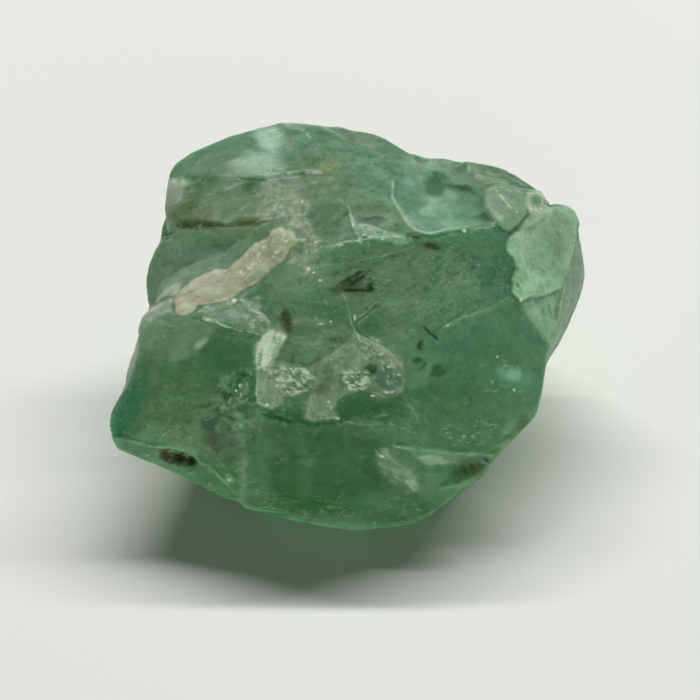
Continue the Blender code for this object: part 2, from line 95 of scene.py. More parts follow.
# Corners of each growth block.
BLOCKS = {
    # the large middle block, with the broad smooth face on its right and the dark one below
    "main": [
        (-1.9, -2.3, 14.0), (-0.3, -2.9, 14.6), (4.5, -2.5, 15.0), (7.8, -1.1, 14.2),
        (8.8, -1.0, 13.2), (4.7, -6.5, 11.8), (8.7, -3.4, 11.0), (10.8, -3.8, 8.0),
        (10.5, -4.8, 7.2), (10.2, -6.6, 5.9), (10.0, -7.1, 5.4), (9.1, -7.8, 4.7),
        (7.9, -8.6, 4.2), (7.2, -8.8, 3.9), (-5.0, -6.7, 11.2), (-5.2, -7.8, 10.2),
        (-5.5, -8.7, 8.5), (-1.4, -10.0, 8.3), (2.3, -10.1, 7.3), (5.4, -10.3, 2.9),
        (4.1, -11.1, 2.0), (2.7, -11.6, 1.7), (-0.6, -11.7, 1.5), (-3.0, -11.6, 1.8),
        (-5.1, -11.2, 2.2), (-6.3, -11.0, 2.6), (10.9, -0.1, 5.0), (8.7, 4.9, 8.0),
        (1.7, 7.9, 6.0), (-6.3, 4.9, 5.0), (4.1, 7.6, 12.2),
    ],
    # its flat underside, which the crystal rests on
    "foot": [
        (-4.8, -8.6, 0.0), (0.7, -9.9, 0.0), (4.2, -8.7, 0.0), (6.5, -5.1, 0.0),
        (5.5, 1.4, 0.0), (1.2, 3.9, 0.0), (-3.3, 3.4, 0.0), (-6.8, -1.1, 0.0),
        (-6.3, -11.0, 2.6), (5.4, -10.3, 2.9), (-0.6, -11.7, 1.5), (4.1, -11.1, 2.0),
        (-3.0, -11.6, 1.8), (2.7, -11.6, 1.7), (-5.1, -11.2, 2.2), (10.5, -4.8, 7.2),
        (10.9, -0.1, 5.0), (8.7, 4.9, 8.0), (1.7, 7.9, 6.0), (-6.3, 4.9, 5.0),
        (7.9, -8.6, 4.2), (-5.5, -8.7, 8.5),
    ],
    # the wedge that runs out to the low left tip
    "wedge": [
        (-11.8, -4.6, 10.0), (-11.6, -3.9, 10.1), (-8.1, -5.1, 11.1), (-5.0, -6.7, 11.2),
        (-3.5, -6.6, 11.2), (-3.0, -1.9, 12.4), (-7.7, -2.4, 10.8), (-10.6, -2.2, 9.7),
        (-2.9, -1.0, 12.8), (-6.4, -0.6, 10.5), (-9.9, -1.4, 9.3), (-11.8, 0.3, 7.2),
        (-13.5, -7.9, 5.6), (-13.3, -8.4, 5.1), (-9.6, -8.9, 4.9), (-6.5, -10.7, 3.4),
        (-5.6, -8.7, 8.5), (-13.2, -8.5, 4.6), (-11.2, -9.1, 4.1), (-8.1, -10.0, 3.5),
        (-6.9, -10.9, 3.0), (-13.0, -7.1, 6.6), (-12.4, -6.6, 7.4), (-12.0, -6.1, 8.6),
        (-8.3, -3.1, 1.5), (-4.8, -7.6, 0.3), (-6.3, -1.1, 0.2), (-10.8, -2.6, 4.0),
        (-10.6, -1.1, 3.6), (-8.8, 0.4, 1.8),
    ],
    # the layered shoulder at the back left: its glassy upper band
    "shoulder_top": [
        (-11.2, 7.2, 11.0), (-11.1, 8.0, 11.4), (-10.6, 8.9, 11.6), (-9.5, 9.5, 12.0),
        (-7.9, 10.2, 12.3), (-6.2, 11.1, 12.4), (-4.1, 11.8, 12.4), (-2.1, 11.6, 12.3),
        (-0.3, 11.2, 12.2), (-11.2, 5.5, 10.7), (-10.9, 3.4, 10.6), (-10.1, 2.6, 11.3),
        (-5.8, 0.7, 13.2), (-2.8, 0.5, 14.0), (-2.5, 2.5, 14.0), (-3.2, 6.2, 13.4),
        (-9.8, 6.4, 5.5), (-3.3, 10.5, 6.5), (3.2, 9.7, 7.0), (-7.3, 2.9, 2.0),
        (-10.3, 1.4, 5.5),
    ],
    # and its lower band, under the stained crack
    "shoulder_low": [
        (-10.5, 2.7, 10.9), (-5.9, 0.8, 12.8), (-2.8, -0.7, 13.5), (-1.8, -2.2, 13.9),
        (-2.9, -1.1, 12.8), (-6.4, -0.6, 10.5), (-9.9, -1.4, 9.3), (-11.1, 3.2, 10.2),
        (-11.4, 2.6, 9.8), (-12.0, 2.0, 9.3), (-12.2, 1.0, 8.0), (-12.1, 0.7, 7.0),
        (-11.2, -0.3, 7.6), (-10.5, 2.9, 5.0), (-8.3, 2.9, 2.0), (-7.3, -1.1, 2.5),
        (-10.6, -1.1, 3.6), (-8.8, 0.4, 1.8),
    ],
    # the plateau between the shoulder and the scooped lump
    "crown": [
        (-3.6, 10.4, 12.6), (-0.3, 10.9, 12.4), (1.4, 10.2, 12.4), (2.1, 9.6, 12.3),
        (3.2, 8.2, 12.4), (4.1, 7.4, 12.4), (-2.7, -1.4, 13.8), (-1.9, -2.3, 14.0),
        (-0.3, -2.9, 14.6), (2.4, -2.7, 14.8), (1.7, 3.0, 14.0), (-2.6, 4.7, 13.8),
        (4.7, 9.9, 6.5), (-2.3, 9.9, 6.0), (0.7, 3.9, 2.0), (-3.0, 0.0, 13.8),
        (-2.9, -1.1, 12.8),
    ],
    # the lump at the back right, whose top is scooped below
    "lump": [
        (4.1, 7.6, 12.2), (4.8, 7.6, 12.3), (5.8, 7.2, 12.5), (7.6, 7.4, 12.3),
        (9.3, 6.2, 12.2), (10.2, 5.7, 12.0), (11.1, 5.2, 11.6), (11.1, 4.6, 11.5),
        (4.5, -2.5, 15.0), (7.8, -1.1, 14.2), (8.8, -1.0, 13.2), (2.4, -2.7, 14.8),
        (2.2, 2.8, 13.8), (11.0, 5.9, 7.0), (7.7, 9.1, 7.5), (2.7, 9.4, 7.0),
        (7.7, 2.9, 2.5), (10.9, -0.1, 5.0), (1.7, 7.9, 5.0), (1.8, 9.0, 12.1),
    ],
    # the pale slab that leans on the right side
    "slab": [
        (10.7, 2.8, 12.2), (11.3, 3.4, 12.2), (12.1, 4.2, 11.8), (12.6, 4.3, 11.4),
        (12.9, 3.7, 10.8), (12.5, 2.4, 10.8), (8.8, -0.3, 12.8), (8.8, -3.1, 10.7),
        (10.9, -3.9, 7.9), (11.2, -2.9, 7.6), (12.0, -1.2, 7.2), (12.7, 0.3, 7.2),
        (13.3, 1.4, 7.6), (13.5, 2.1, 8.4), (13.3, 2.8, 9.2), (12.8, 3.1, 10.2),
        (12.2, 4.9, 6.0), (10.7, -1.1, 4.5), (7.7, 2.9, 2.5), (9.2, -4.1, 3.2),
        (10.1, -5.7, 6.0), (9.8, 4.4, 10.4), (10.6, 5.4, 6.6),
    ],
    # the saddle where the pale seam climbs between the wedge and the middle block
    "saddle": [
        (-3.8, -1.6, 12.9), (-2.7, -1.3, 13.7), (-1.9, -2.3, 14.0), (-6.3, -2.2, 11.6),
        (-5.9, 0.8, 12.9), (-2.8, 0.5, 13.9), (-5.0, -6.7, 11.1), (-3.5, -5.0, 11.6),
        (-8.4, -1.0, 10.6),
    ],
    # the glassy band raised on the back of the shoulder
    "glass_band": [
        (-9.4, 6.2, 12.0), (-5.4, 4.9, 13.4), (-2.0, 4.6, 13.9), (-10.3, 8.3, 11.5),
        (-7.6, 9.7, 12.2), (-5.6, 10.6, 12.5), (-2.4, 11.2, 12.6), (-0.6, 9.5, 12.8),
    ],
    # the face that carries the wedge over into the middle block
    "bridge": [
        (-9.2, -8.0, 7.9), (-9.4, -9.4, 4.4), (-8.2, -7.0, 9.6), (-5.4, -9.0, 8.7),
        (-5.6, -8.1, 9.9), (-6.6, -10.8, 4.2), (-5.8, -11.3, 2.6), (-7.2, -10.8, 3.2),
        (-2.4, -8.3, 10.1), (-1.5, -9.8, 8.6), (-2.9, -11.1, 4.6), (-3.6, -11.6, 2.4),
        (-4.2, -7.0, 11.1), (-5.0, -5.0, 6.0),
    ],
    # a glassy chip still on the lump, and a splinter beside it
    "chip": [
        (6.7, 3.9, 13.5), (8.0, 4.6, 13.3), (9.5, 4.4, 12.8), (9.9, 2.7, 13.3),
        (9.0, 0.5, 13.9), (8.0, -0.6, 14.4), (6.9, 0.6, 14.5), (7.6, 3.0, 14.0),
    ],
    "splinter": [
        (9.6, 4.9, 12.4), (10.9, 5.0, 12.2), (11.0, 3.4, 12.5), (10.2, 2.6, 13.1),
        (9.7, 3.5, 13.1), (9.6, 3.0, 11.0),
    ],
    # the raised back corner of the lump
    "corner": [
        (6.0, 7.3, 12.5), (6.6, 6.8, 12.9), (8.2, 6.7, 12.6), (9.6, 6.0, 12.4),
        (10.7, 5.2, 12.0), (7.2, 5.4, 13.0), (9.4, 5.0, 12.6), (8.0, 8.0, 11.4),
    ],
    # flakes half parted from the back and from the left side
    "back_flake": [
        (-8.6, 8.5, 9.8), (-3.0, 11.8, 10.6), (-1.6, 11.6, 8.0), (-5.2, 10.2, 6.2),
        (-8.8, 7.6, 7.0),
    ],
    "side_flake": [
        (-11.6, 2.0, 8.9), (-11.3, 4.4, 10.1), (-10.9, 6.9, 9.7), (-10.3, 7.4, 7.9),
        (-10.1, 5.9, 5.8), (-10.7, 3.9, 5.9), (-11.4, 2.2, 7.1),
    ],
    "back_right_flake": [
        (3.0, 9.4, 10.8), (7.4, 9.4, 10.6), (9.6, 7.6, 9.2), (8.6, 8.6, 7.2),
        (4.4, 10.0, 6.8),
    ],
    # the olive chip low on the right edge
    "heel": [
        (7.2, -8.5, 3.6), (7.1, -9.0, 3.2), (6.1, -9.7, 2.8), (5.4, -10.2, 2.6),
        (6.2, -9.0, 4.6), (4.6, -10.5, 3.4), (7.7, -5.6, 1.2), (7.2, -3.1, 0.8),
        (5.7, -10.3, 3.3), (6.4, -10.1, 4.0), (7.2, -9.4, 4.2), (7.2, -9.3, 3.5),
    ],
}
# Shells broken out: middle, half sizes and turn in degrees about X, Y and Z.
SCOOPS = [
    # the bowl in the back right lump, and the notch in its back edge
    ((4.9, 4.7, 21.9), (9.0, 9.0, 9.0), (0.0, 0.0, 0.0)),
    ((4.5, 8.5, 13.0), (1.7, 1.3, 0.8), (0.0, 0.0, 0.0)),
    # the hollow in the left edge and the nick in the right one
    ((-17.0, -5.3, 9.3), (5.1, 5.1, 5.1), (0.0, 0.0, 0.0)),
    ((13.2, -4.2, 6.6), (2.5, 2.5, 2.5), (0.0, 0.0, 0.0)),
    # the bright scar under the middle
    ((-2.2, -11.4, 12.8), (5.0, 5.0, 5.0), (0.0, 0.0, 0.0)),
    ((1.0, -10.4, 12.2), (3.5, 3.5, 3.5), (0.0, 0.0, 0.0)),
    # shells off the back, the sides and the underside edges
    ((-8.0, 13.4, 4.4), (6.5, 6.0, 5.0), (10.0, 0.0, 20.0)),
    ((6.8, 14.6, 5.2), (7.0, 6.4, 4.6), (0.0, 0.0, -14.0)),
    ((-14.2, 3.6, 2.6), (5.0, 6.0, 3.8), (0.0, 0.0, 0.0)),
    ((13.6, -4.6, 1.4), (4.2, 5.6, 3.6), (0.0, 0.0, 12.0)),
    ((0.8, 11.6, 2.0), (6.0, 5.0, 3.0), (0.0, 0.0, 0.0)),
    ((-11.0, -11.6, 0.6), (4.0, 5.0, 2.6), (0.0, -12.0, 0.0)),
]

# The drawing sheet: 700 by 700 dots, 17.8 to the millimetre at the target, seen from the station.
DOTS_PER_MM = 17.8
SHEET_MIDDLE = 350.0
TARGET = np.array([-0.31, -3.19, 7.0])
ELEVATION = math.radians(42.0)
LENS = 85.0
FILM = 36.0
STATION_DISTANCE = 700.0 * LENS / FILM / DOTS_PER_MM
BACK = np.array([0.0, -math.cos(ELEVATION), math.sin(ELEVATION)])
RIGHT = np.array([1.0, 0.0, 0.0])
UP = np.cross(BACK, RIGHT)
FRONT_EDGE = (-0.15, 0.05)  # how squarely a point faces the front as its marks fade in
FIELD_CORNER = np.array([90.0, 110.0])  # the part of the sheet that shards are strewn over
FIELD_SPAN = np.array([510.0, 430.0])
OUTSIDE = -9.0  # the signed distance of a dot that is on no mark
DRIFT_SEEDS = (140, 150)  # of the drift to the right and down
EDGE_DRIFT = (0.8, 1.2)  # size in mm and push in dots of the drift of an edge
WASH_DRIFT = (2.4, 6.0)  # and of a broad wash
GRAIN_SEED = 200
# Cells strewn over the sheet: spacing in dots, how many times longer than wide, and seed.
RELIEF_SHARDS = (7.0, 1.8, 7)
WIDE_SHARDS = (11.0, 1.8, 7)
FINE_SHARDS = (5.0, 2.2, 8)
# Marks drawn by noise: turn in degrees, width and length in dots, and seed.
SEAM_SPECKS = (-30, 2.2, 2.6, 190)
PIT_STREAKS = (-65, 2.0, 8.0, 191)
# A bridging sheet: how far past the outline and how far back it looks for points, in dots and mm,
# its unit in dots, how often it is fitted, and the share of the hindmost points dropped each time.
SHEET_RIM = 3.0
SHEET_REACH = 4.0
SHEET_SCALE = 50.0
SHEET_FITS = 4
SHEET_DROPPED = 0.2
# Factors that mix the bits of a lattice number, and the shift from one octave to the next.
MIXERS = (73856093, 19349663, 83492791, 2654435761, 1274126177)
OCTAVE_SHIFT = 7.7


# ------------------------------------------------------- marks on the front, in dots on the sheet
# Colours as they look in the hand, as display values of 0 to 255.
PALETTE = {
    "sage": (96, 124, 92),
    "ash": (150, 158, 142),
    "emerald": (72, 112, 76),
    "deep": (34, 85, 40),
    # The next is sage painted lighter, for faces that the lamps leave too dark: painted light.
    "moss": (118, 146, 120),
    "seam": (148, 148, 126),
    "teal": (82, 126, 98),
    "sea": (58, 112, 86),
    "turquoise": (87, 135, 107),
    "mint": (162, 194, 172),
    "frost": (126, 148, 124),
    "ice": (176, 196, 166),
    "glint": (230, 238, 216),
    "slab": (150, 178, 150),
    "cream": (180, 178, 148),
    "olive": (88, 104, 56),
    "rust": (62, 74, 28),
    "umber": (84, 70, 54),
    "smoke": (68, 86, 68),
    "ink": (26, 34, 22),
    "yellow": (132, 150, 84),
}
# The stone's own colour over its colour as lit.
OWN_TONE = 1.45
SEAM = [(270, 231), (282, 228), (293, 233), (299, 242), (293, 246), (288, 252), (282, 258),
        (276, 265), (269, 275), (263, 279), (253, 284), (243, 289), (234, 295), (226, 300),
        (217, 303), (207, 304), (197, 306), (192, 311), (186, 315), (180, 316), (175, 312),
        (173, 304), (176, 296), (184, 288), (193, 280), (204, 274), (216, 270), (229, 268),
        (238, 260), (245, 250), (255, 242), (267, 237)]
SEAM_BED = [(163, 284), (184, 268), (202, 260), (220, 252), (238, 238), (260, 225), (292, 221),
            (305, 240), (283, 277), (253, 296), (228, 309), (197, 317), (178, 321), (158, 317)]
SEAM_TOP = [(255, 244), (268, 237), (286, 234), (290, 240), (278, 254), (266, 268), (250, 278),
            (236, 282), (234, 272), (244, 258)]
SEAM_LOW = [(190, 286), (206, 276), (226, 274), (230, 284), (222, 292), (204, 296), (190, 300),
            (178, 303), (176, 311), (182, 314), (190, 308)]
SCAR = [(258, 345), (268, 331), (281, 322), (305, 320), (330, 322), (349, 330), (364, 338),
        (382, 345), (394, 354), (402, 367), (404, 386), (395, 393), (378, 397), (364, 387),
        (347, 392), (337, 398), (334, 408), (336, 418), (314, 421), (305, 418), (309, 393),
        (286, 396), (282, 405), (272, 409), (257, 403)]
SLAB = [(517, 230), (507, 240), (506, 247), (513, 257), (517, 268), (512, 280), (512, 292),
        (520, 300), (536, 297), (560, 290), (567, 268), (576, 238), (578, 217), (573, 207),
        (562, 203), (550, 207), (533, 213), (522, 223)]
BOWL = [(393, 184), (394, 200), (404, 217), (413, 230), (426, 236), (450, 229), (470, 226),
        (482, 216), (480, 200), (470, 184), (448, 174), (424, 170), (404, 172)]
WING = [(138, 325), (143, 313), (155, 302), (165, 292), (174, 287), (181, 284), (178, 293),
        (172, 300), (171, 313), (153, 321), (140, 333)]
FRINGE = [(192, 316), (207, 306), (226, 300), (240, 300), (252, 306), (262, 316), (270, 326),
          (264, 336), (238, 330), (222, 326)]
CHIP = [(485, 192), (492, 187), (500, 185), (517, 193), (525, 200), (527, 213), (517, 223),
        (508, 230), (497, 225), (487, 213), (483, 202)]
RING = [(528, 193), (537, 192), (547, 197), (548, 207), (543, 212), (530, 213), (526, 206)]
HEEL = [(485, 462), (485, 470), (477, 477), (456, 488), (459, 479), (465, 471), (480, 463)]
TONGUE = [(312, 367), (343, 344), (354, 337), (362, 348), (361, 364), (363, 378), (354, 386),
          (339, 394), (322, 400), (313, 409)]
SHEAF = [(259, 340), (268, 328), (275, 333), (284, 337), (282, 342), (277, 349), (275, 358),
         (269, 366), (257, 368), (254, 355)]
SPARKS = [(266, 366), (298, 364), (311, 372), (311, 388), (293, 396), (284, 394), (280, 384),
          (268, 380)]
BLOCKY = [(259, 366), (273, 366), (274, 377), (283, 384), (285, 394), (281, 402), (273, 409),
          (258, 404), (254, 395), (257, 381)]
RAGGED = [(356, 334), (370, 340), (382, 341), (390, 349), (398, 356), (402, 367), (404, 386),
          (397, 392), (388, 380), (378, 366), (366, 357)]
CLOUDED = [(262, 176), (288, 166), (299, 178), (304, 196), (308, 206), (304, 216), (312, 230),
           (320, 242), (316, 262), (313, 276), (300, 272), (287, 262), (297, 247), (292, 231),
           (276, 222), (262, 222), (254, 210), (256, 192)]
FLAKED = [(343, 274), (350, 268), (364, 268), (374, 278), (375, 294), (360, 297), (345, 292)]
SMOKY = [(377, 453), (389, 450), (402, 459), (414, 467), (418, 478), (422, 492), (408, 490),
         (390, 479), (380, 466)]
STREAKED = [(395, 445), (427, 447), (450, 451), (483, 452), (497, 454), (485, 460), (467, 463),
            (450, 463), (427, 467), (417, 456)]
LEAFY = [(214, 378), (236, 372), (254, 368), (256, 404), (268, 410), (258, 424), (240, 430),
         (214, 428), (208, 404)]
SMUDGED = [(203, 416), (216, 414), (232, 432), (246, 440), (244, 466), (226, 462), (204, 446)]
SHOULDER = [(170, 188), (200, 158), (250, 150), (270, 170), (262, 222), (180, 222), (164, 215)]
LOWER_BAND = [(166, 240), (250, 228), (262, 238), (226, 268), (186, 284), (150, 296), (150, 268)]
CROWN = [(300, 150), (350, 136), (388, 152), (394, 190), (402, 218), (350, 208), (312, 206),
         (302, 180)]
MIDDLE_FACE = [(330, 262), (420, 250), (500, 240), (512, 290), (452, 330), (412, 344), (362, 320),
               (336, 300)]
RIGHT_FACE = [(452, 330), (512, 298), (548, 330), (540, 400), (500, 440), (420, 440), (404, 392),
              (400, 350)]
FRONT_FOOT = [(258, 424), (330, 424), (400, 430), (440, 470), (380, 500), (270, 496), (246, 470)]
CRACK = [(166, 238), (178, 227), (200, 225), (222, 226), (252, 222)]
LEFT_STEP = [(150, 352), (180, 338), (208, 332), (262, 342), (268, 400), (250, 440), (190, 436),
             (160, 400)]
FRONT_STEP = [(256, 412), (300, 424), (350, 428), (392, 436), (400, 500), (340, 510), (280, 504),
              (248, 480)]
CHIP_GAP = [(478, 192), (488, 184), (520, 190), (534, 206), (528, 222), (508, 234), (490, 226),
            (480, 210)]
SPLINTER_GAP = [(500, 214), (530, 198), (552, 202), (542, 216), (520, 230), (504, 236)]
CRACK_GAP = [(176, 212), (262, 206), (262, 240), (200, 248), (176, 248)]
NOTCH_RIGHT = [(449, 148), (462, 148), (460, 174), (451, 172)]
NOTCH_LEFT = [(414, 148), (430, 148), (427, 172), (418, 172)]
UNDER_WING = [(137, 331), (153, 321), (174, 315), (192, 316), (214, 327), (206, 344), (188, 355),
              (160, 350), (140, 346)]
SCAR_FLOOR = [(289, 333), (293, 325), (308, 321), (318, 323), (335, 325), (352, 334), (344, 346),
              (325, 360), (312, 366), (295, 366), (279, 360), (282, 347)]
RAGGED_HOLLOW = [(374, 374), (384, 366), (394, 368), (402, 384), (394, 389), (382, 387)]
ABOVE_RAGGED = [(362, 330), (368, 316), (374, 306), (388, 308), (392, 322), (380, 334)]
SCAR_HAZE = [(289, 336), (300, 328), (335, 330), (348, 336), (330, 352), (312, 362), (290, 360)]
DARK_HOLE = [(363, 367), (369, 363), (378, 366), (376, 373), (370, 377), (364, 375)]
TONGUE_TIP = [(311, 405), (322, 402), (328, 400), (331, 408), (327, 416), (316, 420), (305, 419),
              (306, 412)]
SMOKE_STAIN = [(206, 417), (213, 415), (214, 427), (222, 434), (237, 446), (223, 447), (218, 455),
               (210, 448), (207, 434)]
SLAB_SHADE = [(543, 226), (560, 214), (570, 222), (568, 250), (556, 266), (544, 252)]
SLAB_SIDE = [(577, 236), (588, 270), (571, 313), (554, 346), (553, 334), (562, 284), (573, 234)]
SLAB_FOOT = [(520, 302), (540, 297), (560, 290), (556, 325), (551, 345), (540, 334), (528, 318)]
BOWL_LIP = [(353, 221), (367, 226), (387, 231), (407, 236), (414, 242), (403, 245), (393, 243),
            (373, 238), (360, 236)]
UNDER_LIP = [(360, 240), (390, 245), (413, 243), (414, 249), (385, 253), (362, 250)]
RING_HOLE = [(530, 197), (537, 195), (543, 199), (541, 205), (533, 206)]
TONGUE_SPARKS = [(342, 368), (362, 364), (373, 378), (362, 390), (345, 388)]
# Clusters of painted glints, small highlights, low on the front and on the right face.
LOW_GLINT_CLUSTER = [(438, 424), (500, 412), (508, 440), (450, 446)]
RIGHT_GLINT_CLUSTER = [(476, 350), (520, 360), (524, 396), (484, 398)]
FOOT_RIGHT = [(400, 440), (500, 436), (500, 470), (440, 500), (400, 500)]
DARK_LEFT = [(208, 335), (256, 342), (256, 400), (200, 400)]
PIT = ((177, 458), (19, 7), 16)
CRACK_HALF_WIDTH = 2.0
# Folds bridged by one smooth sheet: outline, how far it is brought forward in mm, how wide its rim
# fades in dots, and the deepest fold it bridges in mm.
FILLED = [
    (SEAM_BED, 0.02, 7.0, 4.5), (LEFT_STEP, 0.0, 3.0, 3.0), (FRONT_STEP, 0.0, 3.0, 3.0),
    (CHIP_GAP, 0.05, 3.0, 3.0), (SPLINTER_GAP, 0.0, 3.0, 3.0), (CRACK_GAP, 0.0, 12.0, 2.6),
]
# What stands proud of the stone or is broken out of it: height in mm, softness of its rim in dots
# and outline.  The last two are notches in the top of the lump.
LEDGES = [
    (0.20, 1.5, SLAB), (-0.14, 10.0, SCAR), (-0.22, 9.0, BOWL), (0.10, 2.0, WING),
    (0.08, 1.5, FRINGE), (0.22, 2.0, CHIP), (0.08, 3.0, RING), (0.12, 2.0, HEEL),
    (0.05, 3.0, TONGUE), (0.06, 1.5, SHEAF), (0.06, 1.5, BLOCKY),
    (-0.22, 4.0, NOTCH_RIGHT), (-0.20, 4.0, NOTCH_LEFT),
]
# Ribs along lines: height in mm, half width in dots, line.
RIBS = [
    (0.14, 3.5, [(392, 182), (393, 197), (398, 207), (408, 222), (418, 231), (433, 234), (450, 229),
                 (468, 228)]),
    (0.10, 3.5, [(397, 446), (420, 450), (450, 453), (492, 455)]),
    (0.10, 2.5, [(114, 437), (153, 447), (180, 452), (208, 465), (235, 493)]),
    (0.06, 4.0, [(447, 327), (464, 318), (490, 309), (511, 300)]),
    (-0.05, 3.0, [(190, 179), (225, 178), (262, 180)]),
    (0.07, 2.5, [(263, 335), (257, 348), (256, 362), (258, 382), (256, 402)]),
    (0.06, 2.5, [(346, 300), (350, 320), (358, 333), (370, 341), (389, 350), (402, 367), (404, 388)]),
]

# Broad washes: colour, strength, softness of the rim in dots, then middle, half sizes and turn.
# The lighter sage washes paint light onto faces that the lamps leave too dark.
WASHES = [
    ("sage", 0.60, 30, (300, 200), (130, 60), 0),
    ("turquoise", 0.55, 26, (215, 158), (70, 18), -18),
    ("turquoise", 0.45, 24, (290, 140), (70, 16), 4),
    ("turquoise", 0.60, 26, (385, 172), (40, 24), 16),
    ("turquoise", 0.80, 16, (438, 200), (52, 34), 4),
    ("emerald", 0.25, 16, (438, 210), (40, 24), 4),
    ("emerald", 0.40, 12, (466, 204), (14, 14), 0),
    ("moss", 0.70, 12, (182, 200), (16, 20), 0),
    ("emerald", 0.55, 10, (168, 278), (14, 10), -20),
    ("sage", 0.60, 10, (238, 318), (22, 10), 20),
    ("sea", 0.45, 12, (410, 204), (12, 14), 0),
    ("sage", 0.60, 18, (478, 174), (40, 13), 16),
    ("sage", 0.95, 16, (215, 206), (66, 22), 0),
    ("olive", 0.25, 22, (192, 232), (40, 22), 0),
    ("moss", 0.90, 30, (205, 255), (70, 38), -18),
    ("moss", 0.40, 16, (175, 268), (30, 16), -10),
    ("sage", 0.60, 18, (320, 190), (30, 40), 0),
    ("yellow", 0.22, 16, (332, 173), (15, 12), 0),
    ("emerald", 0.85, 22, (326, 224), (20, 22), 10),
    ("emerald", 0.55, 24, (372, 222), (50, 16), 10),
    ("turquoise", 0.45, 14, (330, 254), (22, 10), 0),
    ("sage", 0.60, 24, (385, 262), (60, 22), -6),
    ("deep", 0.35, 22, (352, 290), (36, 16), 0),
    ("moss", 0.70, 22, (310, 280), (40, 22), 0),
    ("moss", 0.75, 34, (425, 300), (80, 44), 10),
    ("turquoise", 0.30, 16, (474, 236), (40, 12), 6),
    ("teal", 0.85, 14, (497, 262), (24, 34), 8),
    ("sea", 0.75, 14, (497, 288), (22, 18), 0),
    ("teal", 0.65, 26, (478, 340), (60, 44), 0),
    ("sea", 0.30, 20, (468, 348), (30, 20), 0),
    ("sage", 0.25, 30, (490, 380), (50, 44), 0),
    ("moss", 0.55, 20, (400, 362), (34, 30), 0),
    ("frost", 0.35, 20, (300, 350), (50, 34), 0),
    ("teal", 0.60, 22, (506, 388), (34, 24), 0),
    ("emerald", 0.80, 26, (440, 412), (54, 30), 0),
    ("deep", 0.45, 20, (365, 408), (36, 14), 0),
    ("frost", 0.40, 18, (176, 338), (44, 18), -14),
    ("emerald", 0.60, 16, (228, 362), (34, 32), 0),
    ("deep", 0.15, 14, (232, 352), (18, 18), 0),
    ("sage", 0.60, 24, (160, 376), (36, 26), 0),
    ("sage", 0.70, 24, (185, 402), (56, 30), 0),
    ("olive", 0.22, 24, (190, 425), (40, 26), 0),
    ("sea", 0.95, 14, (122, 416), (18, 34), 28),
    ("sea", 0.55, 14, (138, 392), (14, 20), 20),
    ("smoke", 0.30, 12, (160, 462), (52, 10), 16),
    ("emerald", 0.85, 20, (222, 482), (34, 26), 20),
    ("deep", 1.00, 26, (318, 464), (84, 50), 0),
    ("deep", 0.75, 16, (296, 446), (24, 36), 0),
    ("deep", 0.55, 16, (330, 460), (18, 40), 0),
    ("emerald", 0.70, 14, (258, 470), (14, 44), 0),
    ("emerald", 0.35, 12, (307, 470), (6, 40), 0),
    ("deep", 0.60, 12, (322, 514), (90, 10), 6),
    ("deep", 0.70, 26, (430, 496), (60, 28), -30),
    ("sea", 0.65, 14, (438, 474), (22, 13), -10),
    ("moss", 0.30, 16, (446, 484), (30, 20), -10),
    ("smoke", 0.45, 10, (220, 434), (18, 18), 0),
    ("moss", 0.50, 14, (312, 262), (14, 20), 0),
]
